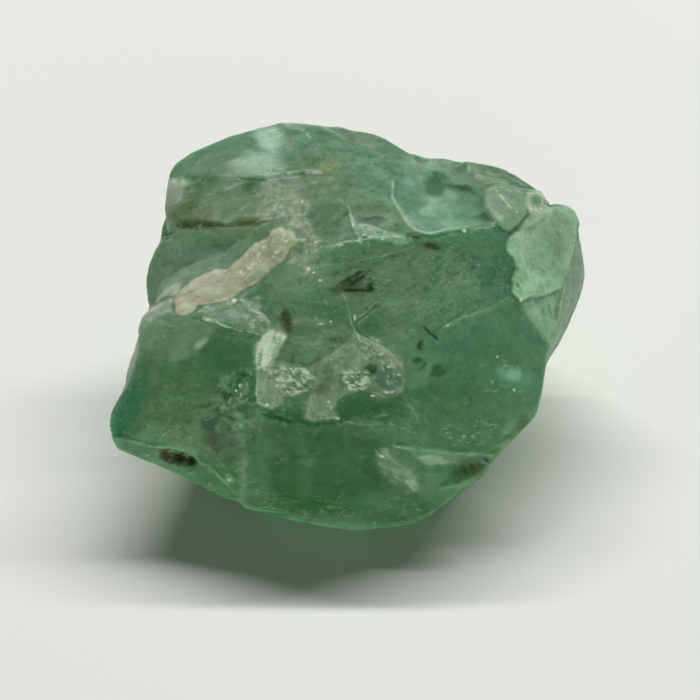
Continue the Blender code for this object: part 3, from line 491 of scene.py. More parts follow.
# Sharper marks: colour, strength, softness and wobble of the rim in dots, then middle, half sizes
# and turn.
BLOBS = [
    ("mint", 0.95, 8, 3, (271, 139), (12, 10), 16),
    ("frost", 0.70, 6, 3, (289, 144), (8, 7), 30),
    ("mint", 0.90, 8, 3, (258, 165), (19, 10), -10),
    ("frost", 0.60, 8, 3, (238, 171), (20, 5), -4),
    ("ice", 0.50, 3, 2, (237, 161), (7, 2.2), 0),
    ("frost", 0.35, 7, 3, (212, 162), (26, 5), -16),
    ("turquoise", 1.00, 9, 4, (520, 379), (18, 9), 20),
    ("mint", 0.55, 6, 4, (515, 375), (9, 5), 20),
    ("frost", 0.60, 4, 3, (368, 141), (9, 4), 20),
    ("mint", 0.35, 7, 3, (434, 166), (13, 4), 8),
    ("mint", 0.20, 9, 3, (437, 203), (14, 8), 0),
    ("frost", 0.50, 5, 2, (389, 220), (9, 6), 0),
    ("frost", 0.70, 3, 2, (179, 354), (10, 6), -12),
    ("frost", 0.70, 3, 2, (147, 341), (6, 2.6), -24),
    ("ice", 0.60, 2, 2, (200, 344), (5, 2.2), -30),
    ("frost", 0.40, 3, 2, (155, 379), (4, 4), 0),
    ("ice", 0.90, 3, 2, (177, 183), (11, 4), 4),
    ("ash", 0.80, 4, 3, (173, 196), (9, 13), 20),
    ("ice", 0.50, 3, 2, (225, 224), (5, 2), 0),
    ("yellow", 0.60, 2.5, 4, (330, 165), (6, 2.2), 0),
    ("yellow", 0.60, 2.5, 2, (325, 170), (3, 1.6), 0),
    ("deep", 0.45, 3, 2, (313, 162), (9, 3), 0),
    ("deep", 0.40, 3, 2, (312, 171), (7, 2.5), 0),
    ("emerald", 0.90, 4, 2, (208, 181), (14, 4.5), 0),
    ("deep", 0.60, 4, 2, (253, 184), (9, 7), 0),
    ("olive", 0.60, 8, 4, (190, 213), (20, 7), 0),
    ("rust", 1.00, 2, 2, (201, 225), (23, 4.8), 1),
    ("rust", 0.80, 2.5, 2, (247, 222), (13, 3.2), 0),
    ("olive", 0.45, 8, 3, (245, 228), (24, 5), 4),
    ("deep", 0.75, 4, 5, (433, 186), (9, 8), 20),
    ("deep", 0.90, 2.5, 2, (463, 189), (9, 2.8), 8),
    ("ink", 0.50, 1.5, 2, (461, 188), (7, 1.8), 8),
    ("ink", 0.45, 1.5, 1, (472, 193), (5, 1.4), 44),
    ("emerald", 0.60, 3, 2, (415, 204), (8, 3), 0),
    ("deep", 0.80, 2.5, 2, (439, 174), (7, 3), 14),
    ("deep", 0.40, 2, 2, (397, 174), (6, 1.6), 4),
    ("ink", 0.65, 1.5, 2, (346, 214), (3.6, 2.4), 0),
    ("ink", 0.60, 1.5, 2, (369, 218), (8, 1.5), 6),
    ("rust", 0.95, 2, 3, (416, 236), (8, 3.2), 12),
    ("ink", 0.35, 1.5, 3, (414, 235), (6, 1.8), 12),
    ("rust", 0.95, 2, 3, (430, 245), (7, 2.8), 14),
    ("ink", 0.40, 1.5, 3, (430, 246), (5, 1.4), 14),
    ("deep", 0.50, 4, 3, (390, 256), (7, 3), 10),
    ("rust", 0.75, 4, 3, (286, 322), (5, 9), -14),
    ("ink", 0.35, 3, 2, (287, 325), (3, 5), -14),
    ("ink", 0.50, 4, 3, (352, 284), (15, 5), -20),
    ("ink", 0.55, 2, 4, (356, 279), (9, 2.6), -30),
    ("ink", 0.50, 2, 3, (358, 290), (14, 2.0), 4),
    ("rust", 0.45, 4, 4, (350, 288), (13, 7), 0),
    ("ink", 0.75, 2, 2, (370, 289), (4, 4), 0),
    ("ink", 0.55, 1.5, 1, (419, 344), (3, 5), 20),
    ("deep", 0.80, 1.5, 4, (417, 361), (4.5, 2.6), 0),
    ("deep", 0.80, 1.5, 3, (423, 367), (4.0, 1.6), -40),
    ("deep", 0.70, 3, 5, (439, 373), (8, 4.0), -20),
    ("sage", 0.60, 4, 3, (408, 372), (9, 6), -20),
    ("ink", 0.60, 2.5, 2, (228, 397), (7, 3), -14),
    ("ink", 0.40, 2, 2, (201, 406), (4, 1.6), 0),
    ("smoke", 0.80, 2.5, 2, (246, 407), (7, 2.8), -12),
    ("deep", 0.55, 4, 3, (225, 418), (10, 6), 10),
    ("olive", 0.80, 2.5, 2, (257, 425), (5, 3), 20),
    ("smoke", 1.00, 3, 2, (209, 423), (7, 5.5), 0),
    ("smoke", 0.85, 3, 2, (213, 438), (7, 9), -10),
    ("smoke", 0.70, 3, 2, (225, 441), (10, 5), 14),
    ("umber", 0.50, 2, 1, (215, 451), (2, 4), -30),
    ("smoke", 0.75, 2.5, 2, (235, 460), (6, 2.4), 12),
    ("ink", 0.40, 2, 2, (184, 432), (4, 2), 30),
    ("frost", 0.50, 4, 2, (243, 478), (3, 22), 0),
    ("ice", 0.40, 3, 2, (229, 480), (4, 3), 0),
    ("sea", 0.90, 2.5, 2, (432, 433), (4, 3), 0),
    ("sea", 0.80, 2, 2, (414, 441), (4, 2.4), 0),
    ("sea", 0.70, 2, 2, (418, 451), (3, 2), 0),
    ("rust", 0.50, 3, 3, (521, 427), (14, 4), -38),
    ("frost", 0.55, 2, 3, (510, 427), (8, 3), -60),
    ("frost", 0.60, 2, 2, (507, 443), (5, 3), -60),
    ("olive", 0.60, 3, 3, (516, 437), (5, 8), 40),
    ("umber", 0.45, 2, 2, (524, 428), (3, 5), 40),
    ("frost", 0.50, 2, 2, (532, 416), (3, 6), 24),
    ("olive", 0.50, 3, 3, (500, 452), (6, 3), -20),
]
# Outlined patches: colour, strength, softness and wobble of the rim in dots, frost, sparkle and
# outline.
PATCHES = [
    ("ash", 0.80, 3, 3, 0.2, 0.0, WING),
    ("ash", 0.20, 3, 3, 0.2, 0.0, FRINGE),
    ("frost", 0.50, 3, 3, 0.1, 0.0, UNDER_WING),
    ("ash", 0.62, 5, 5, 0.1, 0.0, SCAR),
    ("sage", 0.80, 2, 2, 0.1, 0.0, SCAR_FLOOR),
    ("glint", 0.70, 4, 3, 0.1, 0.0, SHEAF),
    ("ash", 0.70, 1.2, 2, 0.3, 0.0, BLOCKY),
    ("ash", 0.90, 1.2, 2, 0.2, 0.2, SPARKS),
    ("ash", 0.85, 4.5, 6, 0.1, 0.0, TONGUE),
    ("ash", 1.00, 3.0, 7, 0.2, 0.1, RAGGED),
    ("sea", 0.60, 2.5, 3, 0.0, 0.0, RAGGED_HOLLOW),
    ("emerald", 0.65, 2.5, 3, 0.0, 0.0, ABOVE_RAGGED),
    ("moss", 0.50, 4, 3, 0.1, 0.0, SCAR_HAZE),
    ("deep", 0.80, 1.5, 1, 0.0, 0.0, DARK_HOLE),
    ("frost", 0.60, 1.5, 2, 0.2, 0.3, TONGUE_TIP),
    ("smoke", 0.85, 1.5, 1.5, 0.0, 0.0, SMOKE_STAIN),
    ("slab", 1.00, 1.2, 1.5, 0.2, 0.05, SLAB),
    ("sage", 0.55, 6, 2, 0.0, 0.0, SLAB_SHADE),
    ("frost", 0.75, 1.5, 1.5, 0.1, 0.0, SLAB_SIDE),
    ("slab", 0.75, 3, 3, 0.1, 0.0, SLAB_FOOT),
    ("ash", 0.35, 6, 6, 0.3, 0.0, CLOUDED),
    ("ash", 0.32, 6, 4, 0.2, 0.0, SMOKY),
    ("frost", 0.55, 3, 3, 0.1, 0.0, STREAKED),
    ("mint", 0.45, 2, 3, 0.2, 0.3, BOWL_LIP),
    ("sage", 0.80, 2, 2, 0.1, 0.0, UNDER_LIP),
    ("frost", 0.75, 1.2, 2, 0.0, 0.0, CHIP),
    ("ice", 0.75, 1.5, 2, 0.3, 0.3, RING),
    ("emerald", 0.80, 1.5, 1, 0.0, 0.0, RING_HOLE),
    ("rust", 0.85, 1.2, 2, 0.0, 0.0, HEEL),
]
# Grained patches: colour, strength, turn of the grain, its width and length in dots, the noise
# levels between which it comes in, softness of the rim in dots and outline.
GRAINS = [
    ("glint", 1.00, 100, 2.2, 20.0, (0.05, 0.45), 3, SHEAF),
    ("sage", 0.70, 100, 2.6, 18.0, (0.20, 0.50), 2, SHEAF),
    ("glint", 0.95, 25, 2.2, 4.0, (0.10, 0.40), 3, SPARKS),
    ("deep", 0.75, 20, 2.4, 5.0, (0.10, 0.40), 2, SPARKS),
    ("ice", 0.35, 0, 4.0, 6.0, (0.20, 0.60), 2, BLOCKY),
    ("sage", 0.50, 40, 5.0, 8.0, (0.10, 0.50), 2, BLOCKY),
    ("glint", 0.70, 75, 2.4, 5.0, (0.45, 0.75), 3, RAGGED),
    ("emerald", 0.30, 40, 6.0, 12.0, (0.15, 0.60), 3, RAGGED),
    ("ice", 0.45, 90, 2.4, 4.0, (0.25, 0.65), 2, TONGUE),
    ("sage", 0.70, -50, 6.0, 9.0, (0.00, 0.50), 2, TONGUE),
    ("ice", 0.50, 18, 2.2, 5.0, (0.25, 0.60), 5, FRINGE),
    ("ice", 0.55, 60, 2.4, 3.5, (0.30, 0.65), 6, CLOUDED),
    ("cream", 0.50, 20, 3.5, 5.0, (0.20, 0.60), 6, CLOUDED),
    ("emerald", 0.40, 0, 6.0, 8.0, (0.20, 0.60), 6, CLOUDED),
    ("glint", 0.80, 10, 2.0, 3.4, (0.25, 0.60), 3, TONGUE_SPARKS),
    ("glint", 0.45, 5, 2.0, 5.0, (0.60, 0.90), 6, LOW_GLINT_CLUSTER),
    ("glint", 0.40, 10, 2.0, 5.0, (0.60, 0.90), 6, RIGHT_GLINT_CLUSTER),
    ("ink", 0.80, -38, 2.2, 11.0, (0.20, 0.50), 4, FLAKED),
    ("frost", 0.60, -38, 2.2, 8.0, (0.30, 0.60), 4, FLAKED),
    ("ice", 0.45, 40, 3.0, 9.0, (0.00, 0.60), 4, SMOKY),
    ("ice", 0.45, 6, 2.4, 20.0, (0.15, 0.55), 4, STREAKED),
    ("ice", 0.50, -72, 2.4, 6.0, (0.35, 0.70), 5, LEAFY),
    ("deep", 0.80, 20, 4.0, 7.0, (0.10, 0.50), 5, LEAFY),
    ("frost", 0.60, -30, 5.0, 8.0, (0.10, 0.50), 5, LEAFY),
    ("ink", 0.40, 10, 2.6, 5.0, (0.35, 0.70), 5, LEAFY),
    ("smoke", 0.50, -50, 4.0, 8.0, (0.00, 0.50), 6, SMUDGED),
    ("frost", 0.40, -40, 2.4, 7.0, (0.30, 0.60), 5, SMUDGED),
    ("frost", 0.40, -4, 2.4, 4.5, (0.40, 0.75), 8, SHOULDER),
    ("deep", 0.22, -4, 5.0, 14.0, (0.15, 0.70), 8, SHOULDER),
    ("frost", 0.40, -12, 2.4, 4.0, (0.40, 0.75), 6, LOWER_BAND),
    ("deep", 0.25, -12, 4.5, 9.0, (0.15, 0.70), 6, LOWER_BAND),
    ("frost", 0.45, 40, 2.6, 4.0, (0.35, 0.75), 6, CROWN),
    ("deep", 0.40, -6, 3.0, 5.0, (0.30, 0.75), 6, CROWN),
    ("sage", 0.40, 30, 9.0, 14.0, (0.00, 0.70), 6, CROWN),
    ("mint", 0.30, 25, 7.0, 14.0, (0.00, 0.70), 6, BOWL),
    ("sea", 0.30, -20, 5.0, 9.0, (0.15, 0.70), 6, BOWL),
    ("ash", 0.45, 30, 2.0, 4.0, (0.30, 0.75), 8, MIDDLE_FACE),
    ("smoke", 0.45, -30, 2.6, 6.0, (0.25, 0.75), 8, MIDDLE_FACE),
    ("sage", 0.40, -40, 9.0, 16.0, (0.00, 0.60), 8, MIDDLE_FACE),
    ("olive", 0.12, 20, 12.0, 18.0, (0.00, 0.60), 8, MIDDLE_FACE),
    ("frost", 0.25, 10, 2.4, 3.4, (0.55, 0.95), 8, RIGHT_FACE),
    ("sea", 0.30, 60, 8.0, 14.0, (0.00, 0.70), 8, RIGHT_FACE),
    ("sage", 0.08, 88, 5.0, 40.0, (0.10, 0.80), 8, FRONT_FOOT),
    ("deep", 0.30, 88, 8.0, 40.0, (0.00, 0.80), 8, FRONT_FOOT),
    ("mint", 0.35, 60, 8.0, 16.0, (0.00, 0.70), 5, SLAB),
    ("sage", 0.30, 60, 3.0, 5.0, (0.40, 0.80), 5, SLAB),
]
# Pale hairline cracks, and a few painted highlight lines along edges: half width in dots, strength and
# the points they run through.
CRACKS_AND_HIGHLIGHT_LINES = [
    # The first two lines are a painted highlight along the ridge over the dark left face.
    (0.8, 1.00, [(203, 318), (215, 321), (222, 326), (230, 328)]),
    (0.5, 0.60, [(230, 328), (246, 332), (263, 335)]),
    (0.5, 0.60, [(263, 337), (257, 348), (256, 360), (258, 380), (257, 400)]),
    (0.5, 0.50, [(257, 403), (264, 406), (272, 409), (281, 404), (285, 396)]),
    (0.8, 0.80, [(284, 391), (293, 393), (302, 391), (310, 388)]),
    (0.5, 0.45, [(312, 367), (311, 392), (306, 417), (314, 421), (331, 418), (338, 418)]),
    (0.5, 0.45, [(335, 419), (334, 408), (336, 399), (345, 393), (358, 390), (368, 386)]),
    (0.6, 0.70, [(343, 390), (358, 388), (366, 386), (370, 382)]),
    (0.5, 0.40, [(364, 386), (372, 392), (384, 396), (392, 393), (404, 391)]),
    (0.5, 0.25, [(338, 420), (367, 425), (390, 424), (415, 433)]),
    (0.6, 0.25, [(403, 397), (412, 408), (417, 417), (420, 430)]),
    (0.5, 0.40, [(343, 293), (346, 300), (349, 312), (351, 323), (358, 333), (370, 341)]),
    (0.5, 0.35, [(312, 366), (325, 360), (344, 345), (353, 337)]),
    (0.5, 0.70, [(266, 342), (265, 350), (267, 358)]),
    (0.6, 0.80, [(271, 340), (271, 350), (273, 361)]),
    (0.5, 0.70, [(277, 343), (275, 351), (274, 359)]),
    (0.5, 0.50, [(261, 346), (260, 355), (261, 363)]),
    (0.5, 0.50, [(262, 366), (272, 365), (286, 367), (298, 368)]),
    (1.2, 0.35, [(392, 182), (393, 197), (398, 207), (408, 222), (418, 231), (433, 234)]),
    (0.9, 0.35, [(433, 234), (445, 230), (460, 228), (467, 230)]),
    (1.1, 0.75, [(348, 207), (352, 219), (356, 230), (363, 244)]),
    (0.8, 0.65, [(353, 225), (368, 226), (384, 231), (396, 236), (411, 239)]),
    (1.0, 0.50, [(318, 246), (333, 246), (347, 242), (363, 240)]),
    (0.6, 0.40, [(363, 228), (368, 236), (370, 246)]),
    (0.6, 0.20, [(317, 265), (332, 264), (350, 263)]),
    (0.4, 0.35, [(352, 263), (371, 258), (399, 250), (415, 247)]),
    (0.6, 0.30, [(447, 327), (453, 322), (480, 312), (510, 298)]),
    (0.6, 0.50, [(575, 238), (567, 272), (560, 313), (557, 325)]),
    (0.7, 0.60, [(513, 293), (522, 298), (536, 294), (557, 290)]),
    (0.5, 0.40, [(355, 322), (365, 312), (375, 303)]),
    (0.5, 0.35, [(359, 324), (369, 315), (377, 308)]),
    (0.5, 0.22, [(112, 438), (148, 445), (175, 452), (208, 465), (235, 493)]),
    (0.6, 0.35, [(488, 172), (505, 176), (528, 186)]),
    # A painted highlight streak on the glassy chip.
    (0.9, 1.00, [(497, 192), (503, 199), (510, 207)]),
    (0.5, 0.45, [(487, 190), (500, 187), (517, 194), (526, 203)]),
    (0.5, 0.30, [(484, 195), (484, 206), (492, 220), (506, 229)]),
    (1.4, 0.45, [(283, 124), (297, 128), (306, 133), (310, 138)]),
    (0.5, 0.35, [(378, 279), (391, 280)]),
    (0.5, 0.30, [(423, 308), (432, 307)]),
    (0.5, 0.30, [(439, 282), (445, 279), (452, 283)]),
    (0.6, 0.25, [(487, 287), (503, 288)]),
    (0.7, 0.45, [(138, 326), (143, 314), (155, 303), (166, 292), (178, 284)]),
    (0.5, 0.25, [(427, 473), (436, 474)]),
    (0.5, 0.35, [(327, 508), (334, 506), (340, 507)]),
    (0.5, 0.35, [(452, 475), (452, 485), (456, 492)]),
    (0.5, 0.60, [(183, 184), (181, 196), (176, 203)]),
    (0.4, 0.35, [(214, 404), (226, 408), (238, 405), (252, 396)]),
    (0.4, 0.30, [(222, 414), (232, 408), (240, 398), (240, 386)]),
    (0.4, 0.30, [(204, 420), (216, 416), (226, 420), (236, 430)]),
]
# Dark needles and flake edges, in the same way.
NEEDLES = [
    (0.9, 0.80, [(425, 328), (430, 333), (437, 339)]),
    (0.9, 0.60, [(420, 341), (418, 347), (422, 350)]),
    (0.7, 0.65, [(347, 280), (354, 276), (362, 271)]),
    (0.7, 0.65, [(350, 286), (358, 281), (364, 277)]),
    (0.9, 0.70, [(346, 290), (358, 291), (372, 291), (371, 285)]),
    (0.6, 0.45, [(357, 323), (366, 314), (375, 305)]),
    (0.5, 0.35, [(391, 257), (398, 254), (405, 255)]),
    (0.6, 0.35, [(184, 437), (188, 434), (192, 436)]),
    (0.5, 0.35, [(541, 268), (546, 273)]),
    (0.8, 0.60, [(517, 284), (518, 287)]),
    (0.7, 0.55, [(164, 240), (171, 233), (178, 227)]),
    (0.6, 0.40, [(438, 237), (458, 231), (477, 227), (497, 228), (511, 235)]),
]
MICA = [
    [(173, 452), (183, 453), (188, 458), (184, 463), (176, 460)],
    [(188, 455), (195, 460), (194, 466), (188, 463)],
]
# Flecks all through the stone: cell size in mm, colour, the levels of the picking channel between
# which a cell gets a fleck, reach of a fleck in cells, strength, and that channel.
FLECKS = [
    (0.30, "glint", 0.95, 0.98, 0.20, 0.50, "Red"),
    (0.55, "ink", 0.86, 0.90, 0.20, 0.45, "Green"),
    (0.42, "deep", 0.80, 0.90, 0.40, 0.40, "Blue"),
    (0.60, "ice", 0.88, 0.95, 0.34, 0.22, "Red"),
]
# Short strokes all through the stone: size in mm, colour, the noise levels between which they come
# in, and strength.
DASHES = [
    (0.14, "ice", 0.62, 0.78, 0.42),
    (0.13, "ash", 0.56, 0.70, 0.30),
    (0.16, "deep", 0.58, 0.72, 0.40),
    (0.26, "frost", 0.54, 0.68, 0.38),
    (0.34, "emerald", 0.54, 0.68, 0.40),
]
# Where the stone is clear and even, and has fewer of both: strength, softness in dots and outline.
EVEN = [
    (0.92, 12, FRONT_FOOT), (0.65, 16, RIGHT_FACE), (0.60, 4, SLAB), (0.60, 4, CHIP),
    (1.00, 1, SEAM), (0.50, 10, BOWL), (0.75, 10, FOOT_RIGHT), (0.75, 10, DARK_LEFT),
]
# Painted glints: small highlights where tiny facets catch the light, as middle and half sizes in dots.
GLINTS = [
    ((268, 352), (1.3, 7.5)), ((262, 350), (0.9, 5.0)), ((273, 346), (1.0, 6.0)),
    ((266, 336), (1.0, 4.0)), ((277, 342), (2.4, 0.9)), ((322, 324), (3.6, 0.8)),
    ((331, 322), (1.8, 0.9)), ((355, 318), (1.1, 3.4)), ((279, 380), (2.4, 1.8)),
    ((284, 386), (2.0, 1.4)), ((298, 368), (2.4, 1.1)), ((288, 381), (1.6, 1.2)),
    ((293, 387), (1.6, 1.2)), ((303, 383), (1.4, 1.0)), ((365, 380), (4.4, 2.4)),
    ((361, 384), (2.8, 1.6)), ((356, 382), (1.5, 1.4)), ((350, 388), (1.5, 1.2)),
    ((388, 367), (2.4, 1.4)), ((234, 300), (2.4, 2.0)), ((308, 268), (2.2, 2.0)),
    ((313, 272), (1.6, 1.4)), ((320, 280), (2.0, 1.2)), ((373, 396), (2.0, 1.0)),
    ((240, 386), (1.2, 2.4)), ((236, 392), (1.2, 1.6)), ((464, 230), (2.2, 1.6)),
    ((446, 433), (1.0, 1.0)), ((174, 182), (3.4, 1.2)), ((183, 181), (1.6, 1.4)),
    ((521, 299), (2.0, 1.8)), ((229, 480), (2.0, 1.2)), ((514, 390), (1.6, 1.2)),
    ((498, 357), (1.2, 1.4)), ((448, 326), (2.0, 1.0)), ((316, 241), (2.0, 1.4)),
    ((302, 201), (1.4, 2.2)), ((290, 174), (2.6, 1.2)), ((207, 319), (3.0, 1.0)),
    ((222, 325), (2.6, 1.1)), ((382, 456), (2.6, 1.2)), ((358, 371), (1.4, 1.4)),
    ((346, 372), (1.2, 1.2)), ((350, 370), (1.0, 1.0)), ((392, 391), (2.2, 1.2)),
    ((517, 211), (1.8, 1.4)), ((477, 420), (1.0, 0.7)), ((475, 435), (0.8, 0.6)),
    ((370, 236), (2.0, 1.0)), ((384, 239), (2.4, 1.0)), ((354, 225), (1.4, 1.4)),
    ((532, 209), (2.2, 1.4)), ((541, 208), (2.0, 1.4)), ((177, 463), (1.2, 0.8)),
    ((188, 459), (1.0, 0.8)), ((386, 391), (3.0, 1.3)), ((398, 375), (2.0, 1.2)),
    ((332, 360), (1.3, 1.2)), ((343, 378), (0.9, 3.0)), ((350, 371), (2.6, 0.9)),
    ((355, 372), (1.4, 0.9)), ((267, 405), (2.4, 1.2)), ((256, 393), (1.0, 2.6)),
    ((328, 402), (1.8, 1.2)), ((331, 408), (1.2, 1.8)), ((337, 418), (2.0, 1.1)),
    ((297, 391), (4.5, 1.0)), ((290, 376), (1.8, 1.2)), ((302, 375), (1.6, 1.0)),
    ((283, 373), (1.2, 1.8)), ((277, 386), (1.4, 2.0)), ((288, 392), (2.2, 1.1)),
    ((305, 370), (1.6, 1.0)), ((241, 396), (0.7, 2.4)), ((247, 384), (0.6, 2.0)),
]

# How the stone takes light.
BERYL_INDEX = 1.58
GLOSS = 0.18
CLEAR_SHARE = 0.25
CLEAR_ROUGHNESS = 0.34
SOLID_ROUGHNESS = 0.55
GLOW_RADIUS = (0.5, 1.2, 0.8)  # how far red, green and blue spread inside, in mm
ABSORBED = (120, 200, 150)
ABSORPTION = 220.0  # per metre
SEAM_CURD = (0.60, 0.58, 0.44)
# The noises in it: size in mm, detail and roughness.
GRAIN = {
    "mottle": (0.9, 4.0, 0.6), "fine": (0.16, 3.0, 0.6), "curds": (0.34, 4.0, 0.65),
    "patches": (1.1, 2.0, 0.5), "threads": (3.4, 2.0, 0.5), "broken hairs": (0.28, 2.0, 0.5),
    "broad": (0.6, 3.0, 0.5), "warp": (1.1, 2.0, 0.5),
}
WARP_PUSH = 1.2  # how far the warp moves the finest marks, in mm
THREAD_WIDTH = 0.006  # as a noise level
LINE_RIM = (-1.2, 0.6)  # signed distances in dots between which a line comes in
GLINT_RIM = (-0.6, 0.5)
CRUMB_SIZE = 0.12
BUMP_HEIGHT = 0.12
BUMP_STRENGTH = 0.4

# The board that the stone lies on: display colour and roughness, and half its size in mm.
BOARD = ((238, 239, 233), 0.8)
FLOOR_HALF = 3000.0
ROOM_HUE = (0.88, 1.0, 0.90)
ROOM_LIGHT = 0.06
# Lamps: direction, distance, width and height in mm, power in watts and hue.
KEY = ((0.36, 1.0, 1.33), 1200.0, 1700.0, 45.0, 18.6, (1.0, 1.0, 1.0))
FILL = ((0.0, -1.0, 0.07), 800.0, 1000.0, 60.0, 5.0, (0.76, 1.0, 0.80))


# ------------------------------------------------------------------------------- small mathematics
def smoothstep(low, high, value):
    """An S curve from 0 at low to 1 at high: 3 t^2 - 2 t^3."""
    t = np.clip((value - low) / (high - low), 0.0, 1.0)
    return t * t * (3.0 - 2.0 * t)


def lattice(i, j, k, seed):
    """A fixed pseudo-random number from -1 to 1 for each whole-number place, by mixing its bits."""
    mix = (i * MIXERS[0]) ^ (j * MIXERS[1]) ^ (k * MIXERS[2]) ^ (seed * MIXERS[3])
    mix = (mix ^ (mix >> 13)) * MIXERS[4]
    return ((mix ^ (mix >> 16)) & 0xffff) / 32767.5 - 1.0


def noise(points, seed):
    """Smooth noise: lattice numbers blended along each axis by the S curve 6 t^5 - 15 t^4 + 10 t^3."""
    cell = np.floor(points).astype(np.int64)
    part = points - cell
    blend = part ** 3 * (part * (part * 6.0 - 15.0) + 10.0)
    total = np.zeros(len(points))
    for corner in product((0, 1), repeat=3):
        weight = np.abs(1 - np.array(corner) - blend).prod(1)
        total += weight * lattice(*(cell + corner).T, seed)
    return total


def clouds(points, size, octaves, seed):
    """Noise of the given size in mm plus octaves of half the size and half the strength."""
    total = np.zeros(len(points))
    for octave in range(octaves):
        shifted = points / size * 2 ** octave + OCTAVE_SHIFT * octave
        total += 0.5 ** octave * noise(shifted, seed + octave)
    return total


def bowls(points, middles, size):
    """Shallow bowls with sharp rims between them: the squared distance to the nearest middle."""
    nearest = np.full(len(points), FAR)
    for middle in middles:
        nearest = np.minimum(nearest, ((points - middle) ** 2).sum(1))
    return np.minimum(nearest / size ** 2, 1.0)


# ------------------------------------------------------------------------------ shape of the stone
def hull_planes(corners):
    """The planes of the convex hull: every plane through three corners with all others behind."""
    corner = np.asarray(corners, float)
    three = np.array(list(combinations(range(len(corner)), 3)))
    a, b, c = corner[three[:, 0]], corner[three[:, 1]], corner[three[:, 2]]
    normal = np.cross(b - a, c - a)
    length = np.linalg.norm(normal, axis=1)
    real = length > TINY
    normal = normal[real] / length[real, None]
    offset = (normal * a[real]).sum(1)
    side = corner @ normal.T - offset
    behind = side.max(0) < TINY
    ahead = side.min(0) > -TINY
    normal = np.where(behind[:, None], normal, -normal)
    offset = np.where(behind, offset, -offset)
    planes = np.column_stack([normal, offset])[behind | ahead]
    return np.unique(np.round(planes, 6), axis=0)


def block_reach(rays, corners):
    """How far each ray runs in a block: a soft least of its distances to the block's planes.

    The soft least of the distances d is min - s log(sum(exp((min - d) / s))).
    """
    core = [HEART + side * HEART_REACH * axis for axis in np.eye(3) for side in (-1.0, 1.0)]
    corner = [(x, y, z - SINK * (z <= 0.0)) for x, y, z in corners]
    planes = hull_planes(corner + core)
    speed = rays @ planes[:, :3].T
    room = planes[:, 3] - HEART @ planes[:, :3].T
    reach = np.where(speed > SLOWEST, room / np.maximum(speed, SLOWEST), BEYOND)
    least = reach.min(1)
    return least - EDGE_SOFTNESS * np.log(np.exp((least[:, None] - reach) / EDGE_SOFTNESS).sum(1))


def lens_entry(rays, middle, half_sizes, turn):
    """Where each ray enters an ellipsoid, found in the space where it is a unit ball.

    There the ray start + t way meets the ball where a t^2 + 2 b t + start^2 - 1 = 0.
    """
    turned = np.array(Euler([math.radians(angle) for angle in turn]).to_matrix())
    to_ball = np.diag(1.0 / np.array(half_sizes)) @ turned.T
    start = to_ball @ (HEART - np.array(middle))
    way = rays @ to_ball.T
    a = (way ** 2).sum(1)
    b = way @ start
    inside = b ** 2 - a * (start @ start - 1.0)
    return np.where(inside > 0.0, (-b - np.sqrt(np.maximum(inside, 0.0))) / a, BEYOND)


def stone_reach(rays):
    """The length of each ray to the bare broken surface: the blocks united, then the shells cut.

    The union is a soft most of the blocks' reaches, and each cut a soft least of reach and entry.
    """
    reaches = np.array([block_reach(rays, corners) for corners in BLOCKS.values()])
    most = reaches.max(0)
    reach = most + VALLEY_SOFTNESS * np.log(np.exp((reaches - most) / VALLEY_SOFTNESS).sum(0))
    for lens in SCOOPS:
        near = lens_entry(rays, *lens)
        least = np.minimum(reach, near)
        blunt = SCOOP_SOFTNESS * np.log1p(np.exp(-np.abs(reach - near) / SCOOP_SOFTNESS))
        reach = np.where(near > 0.0, least - blunt, reach)
    return reach


def ray_grid(count):
    """Rays through the cells of a cube's six faces, welded at the seams, and the cells' corners."""
    step = np.tan(np.linspace(-math.pi / 4, math.pi / 4, count + 1))
    s, t = np.meshgrid(step, step, indexing="ij")
    index = np.arange((count + 1) ** 2).reshape(count + 1, count + 1)
    cell = np.stack([index[:-1, :-1], index[1:, :-1], index[1:, 1:], index[:-1, 1:]], -1)
    rays = []
    cells = []
    for face in range(6):
        side = 1.0 if face < 3 else -1.0
        out = np.zeros(3)
        out[face % 3] = side
        across = np.roll(out, 1) * side
        along = np.cross(out, across)
        rays.append((out + s[..., None] * across + t[..., None] * along).reshape(-1, 3))
        cells.append(cell.reshape(-1, 4) + face * (count + 1) ** 2)
    rays = np.concatenate(rays)
    rays /= np.linalg.norm(rays, axis=1, keepdims=True)
    rays = (rays + FINER_IN_FRONT * BACK) * STRETCH
    rays /= np.linalg.norm(rays, axis=1, keepdims=True)
    key = np.round(rays * SAME_RAY).astype(np.int64)
    first, place = np.unique(key, axis=0, return_index=True, return_inverse=True)[1:]
    return rays[first], place.reshape(-1)[np.concatenate(cells)]


def point_normals(points, cells):
    """The mean outward direction at each point, from the cells around it."""
    across = points[cells[:, 2]] - points[cells[:, 0]]
    along = points[cells[:, 3]] - points[cells[:, 1]]
    facing = np.cross(across, along)
    normal = np.zeros_like(points)
    for corner in range(4):
        np.add.at(normal, cells[:, corner], facing)
    return normal / np.maximum(np.linalg.norm(normal, axis=1, keepdims=True), 1e-12)


def around(points, cells):
    """For each point, the mean of the middles of the cells around it."""
    middle = points[cells].mean(1)
    total = np.zeros_like(points)
    count = np.zeros(len(points))
    for corner in range(4):
        np.add.at(total, cells[:, corner], middle)
        np.add.at(count, cells[:, corner], 1.0)
    return total / count[:, None]


def even_out(points, cells, rounds, share=0.0):
    """Draw each stretched point towards the mean of its cells, so that steep steps stay smooth.

    Every point is drawn in at least by its share.
    """
    for _ in range(rounds):
        span = np.linalg.norm(points[cells[:, 2]] - points[cells[:, 0]], axis=1)
        longest = np.zeros(len(points))
        for corner in range(4):
            np.maximum.at(longest, cells[:, corner], span)
        pull = EVEN_PULL * np.maximum(smoothstep(*STRETCHED, longest), share)
        points = points + pull[:, None] * (around(points, cells) - points)
    return points


def proud_of(points, cells, normal):
    """How far each point stands proud of the mean of the points around it, in mm."""
    mean = points
    for _ in range(EDGE_ROUNDS):
        mean = around(mean, cells)
    return ((points - mean) * normal).sum(1)


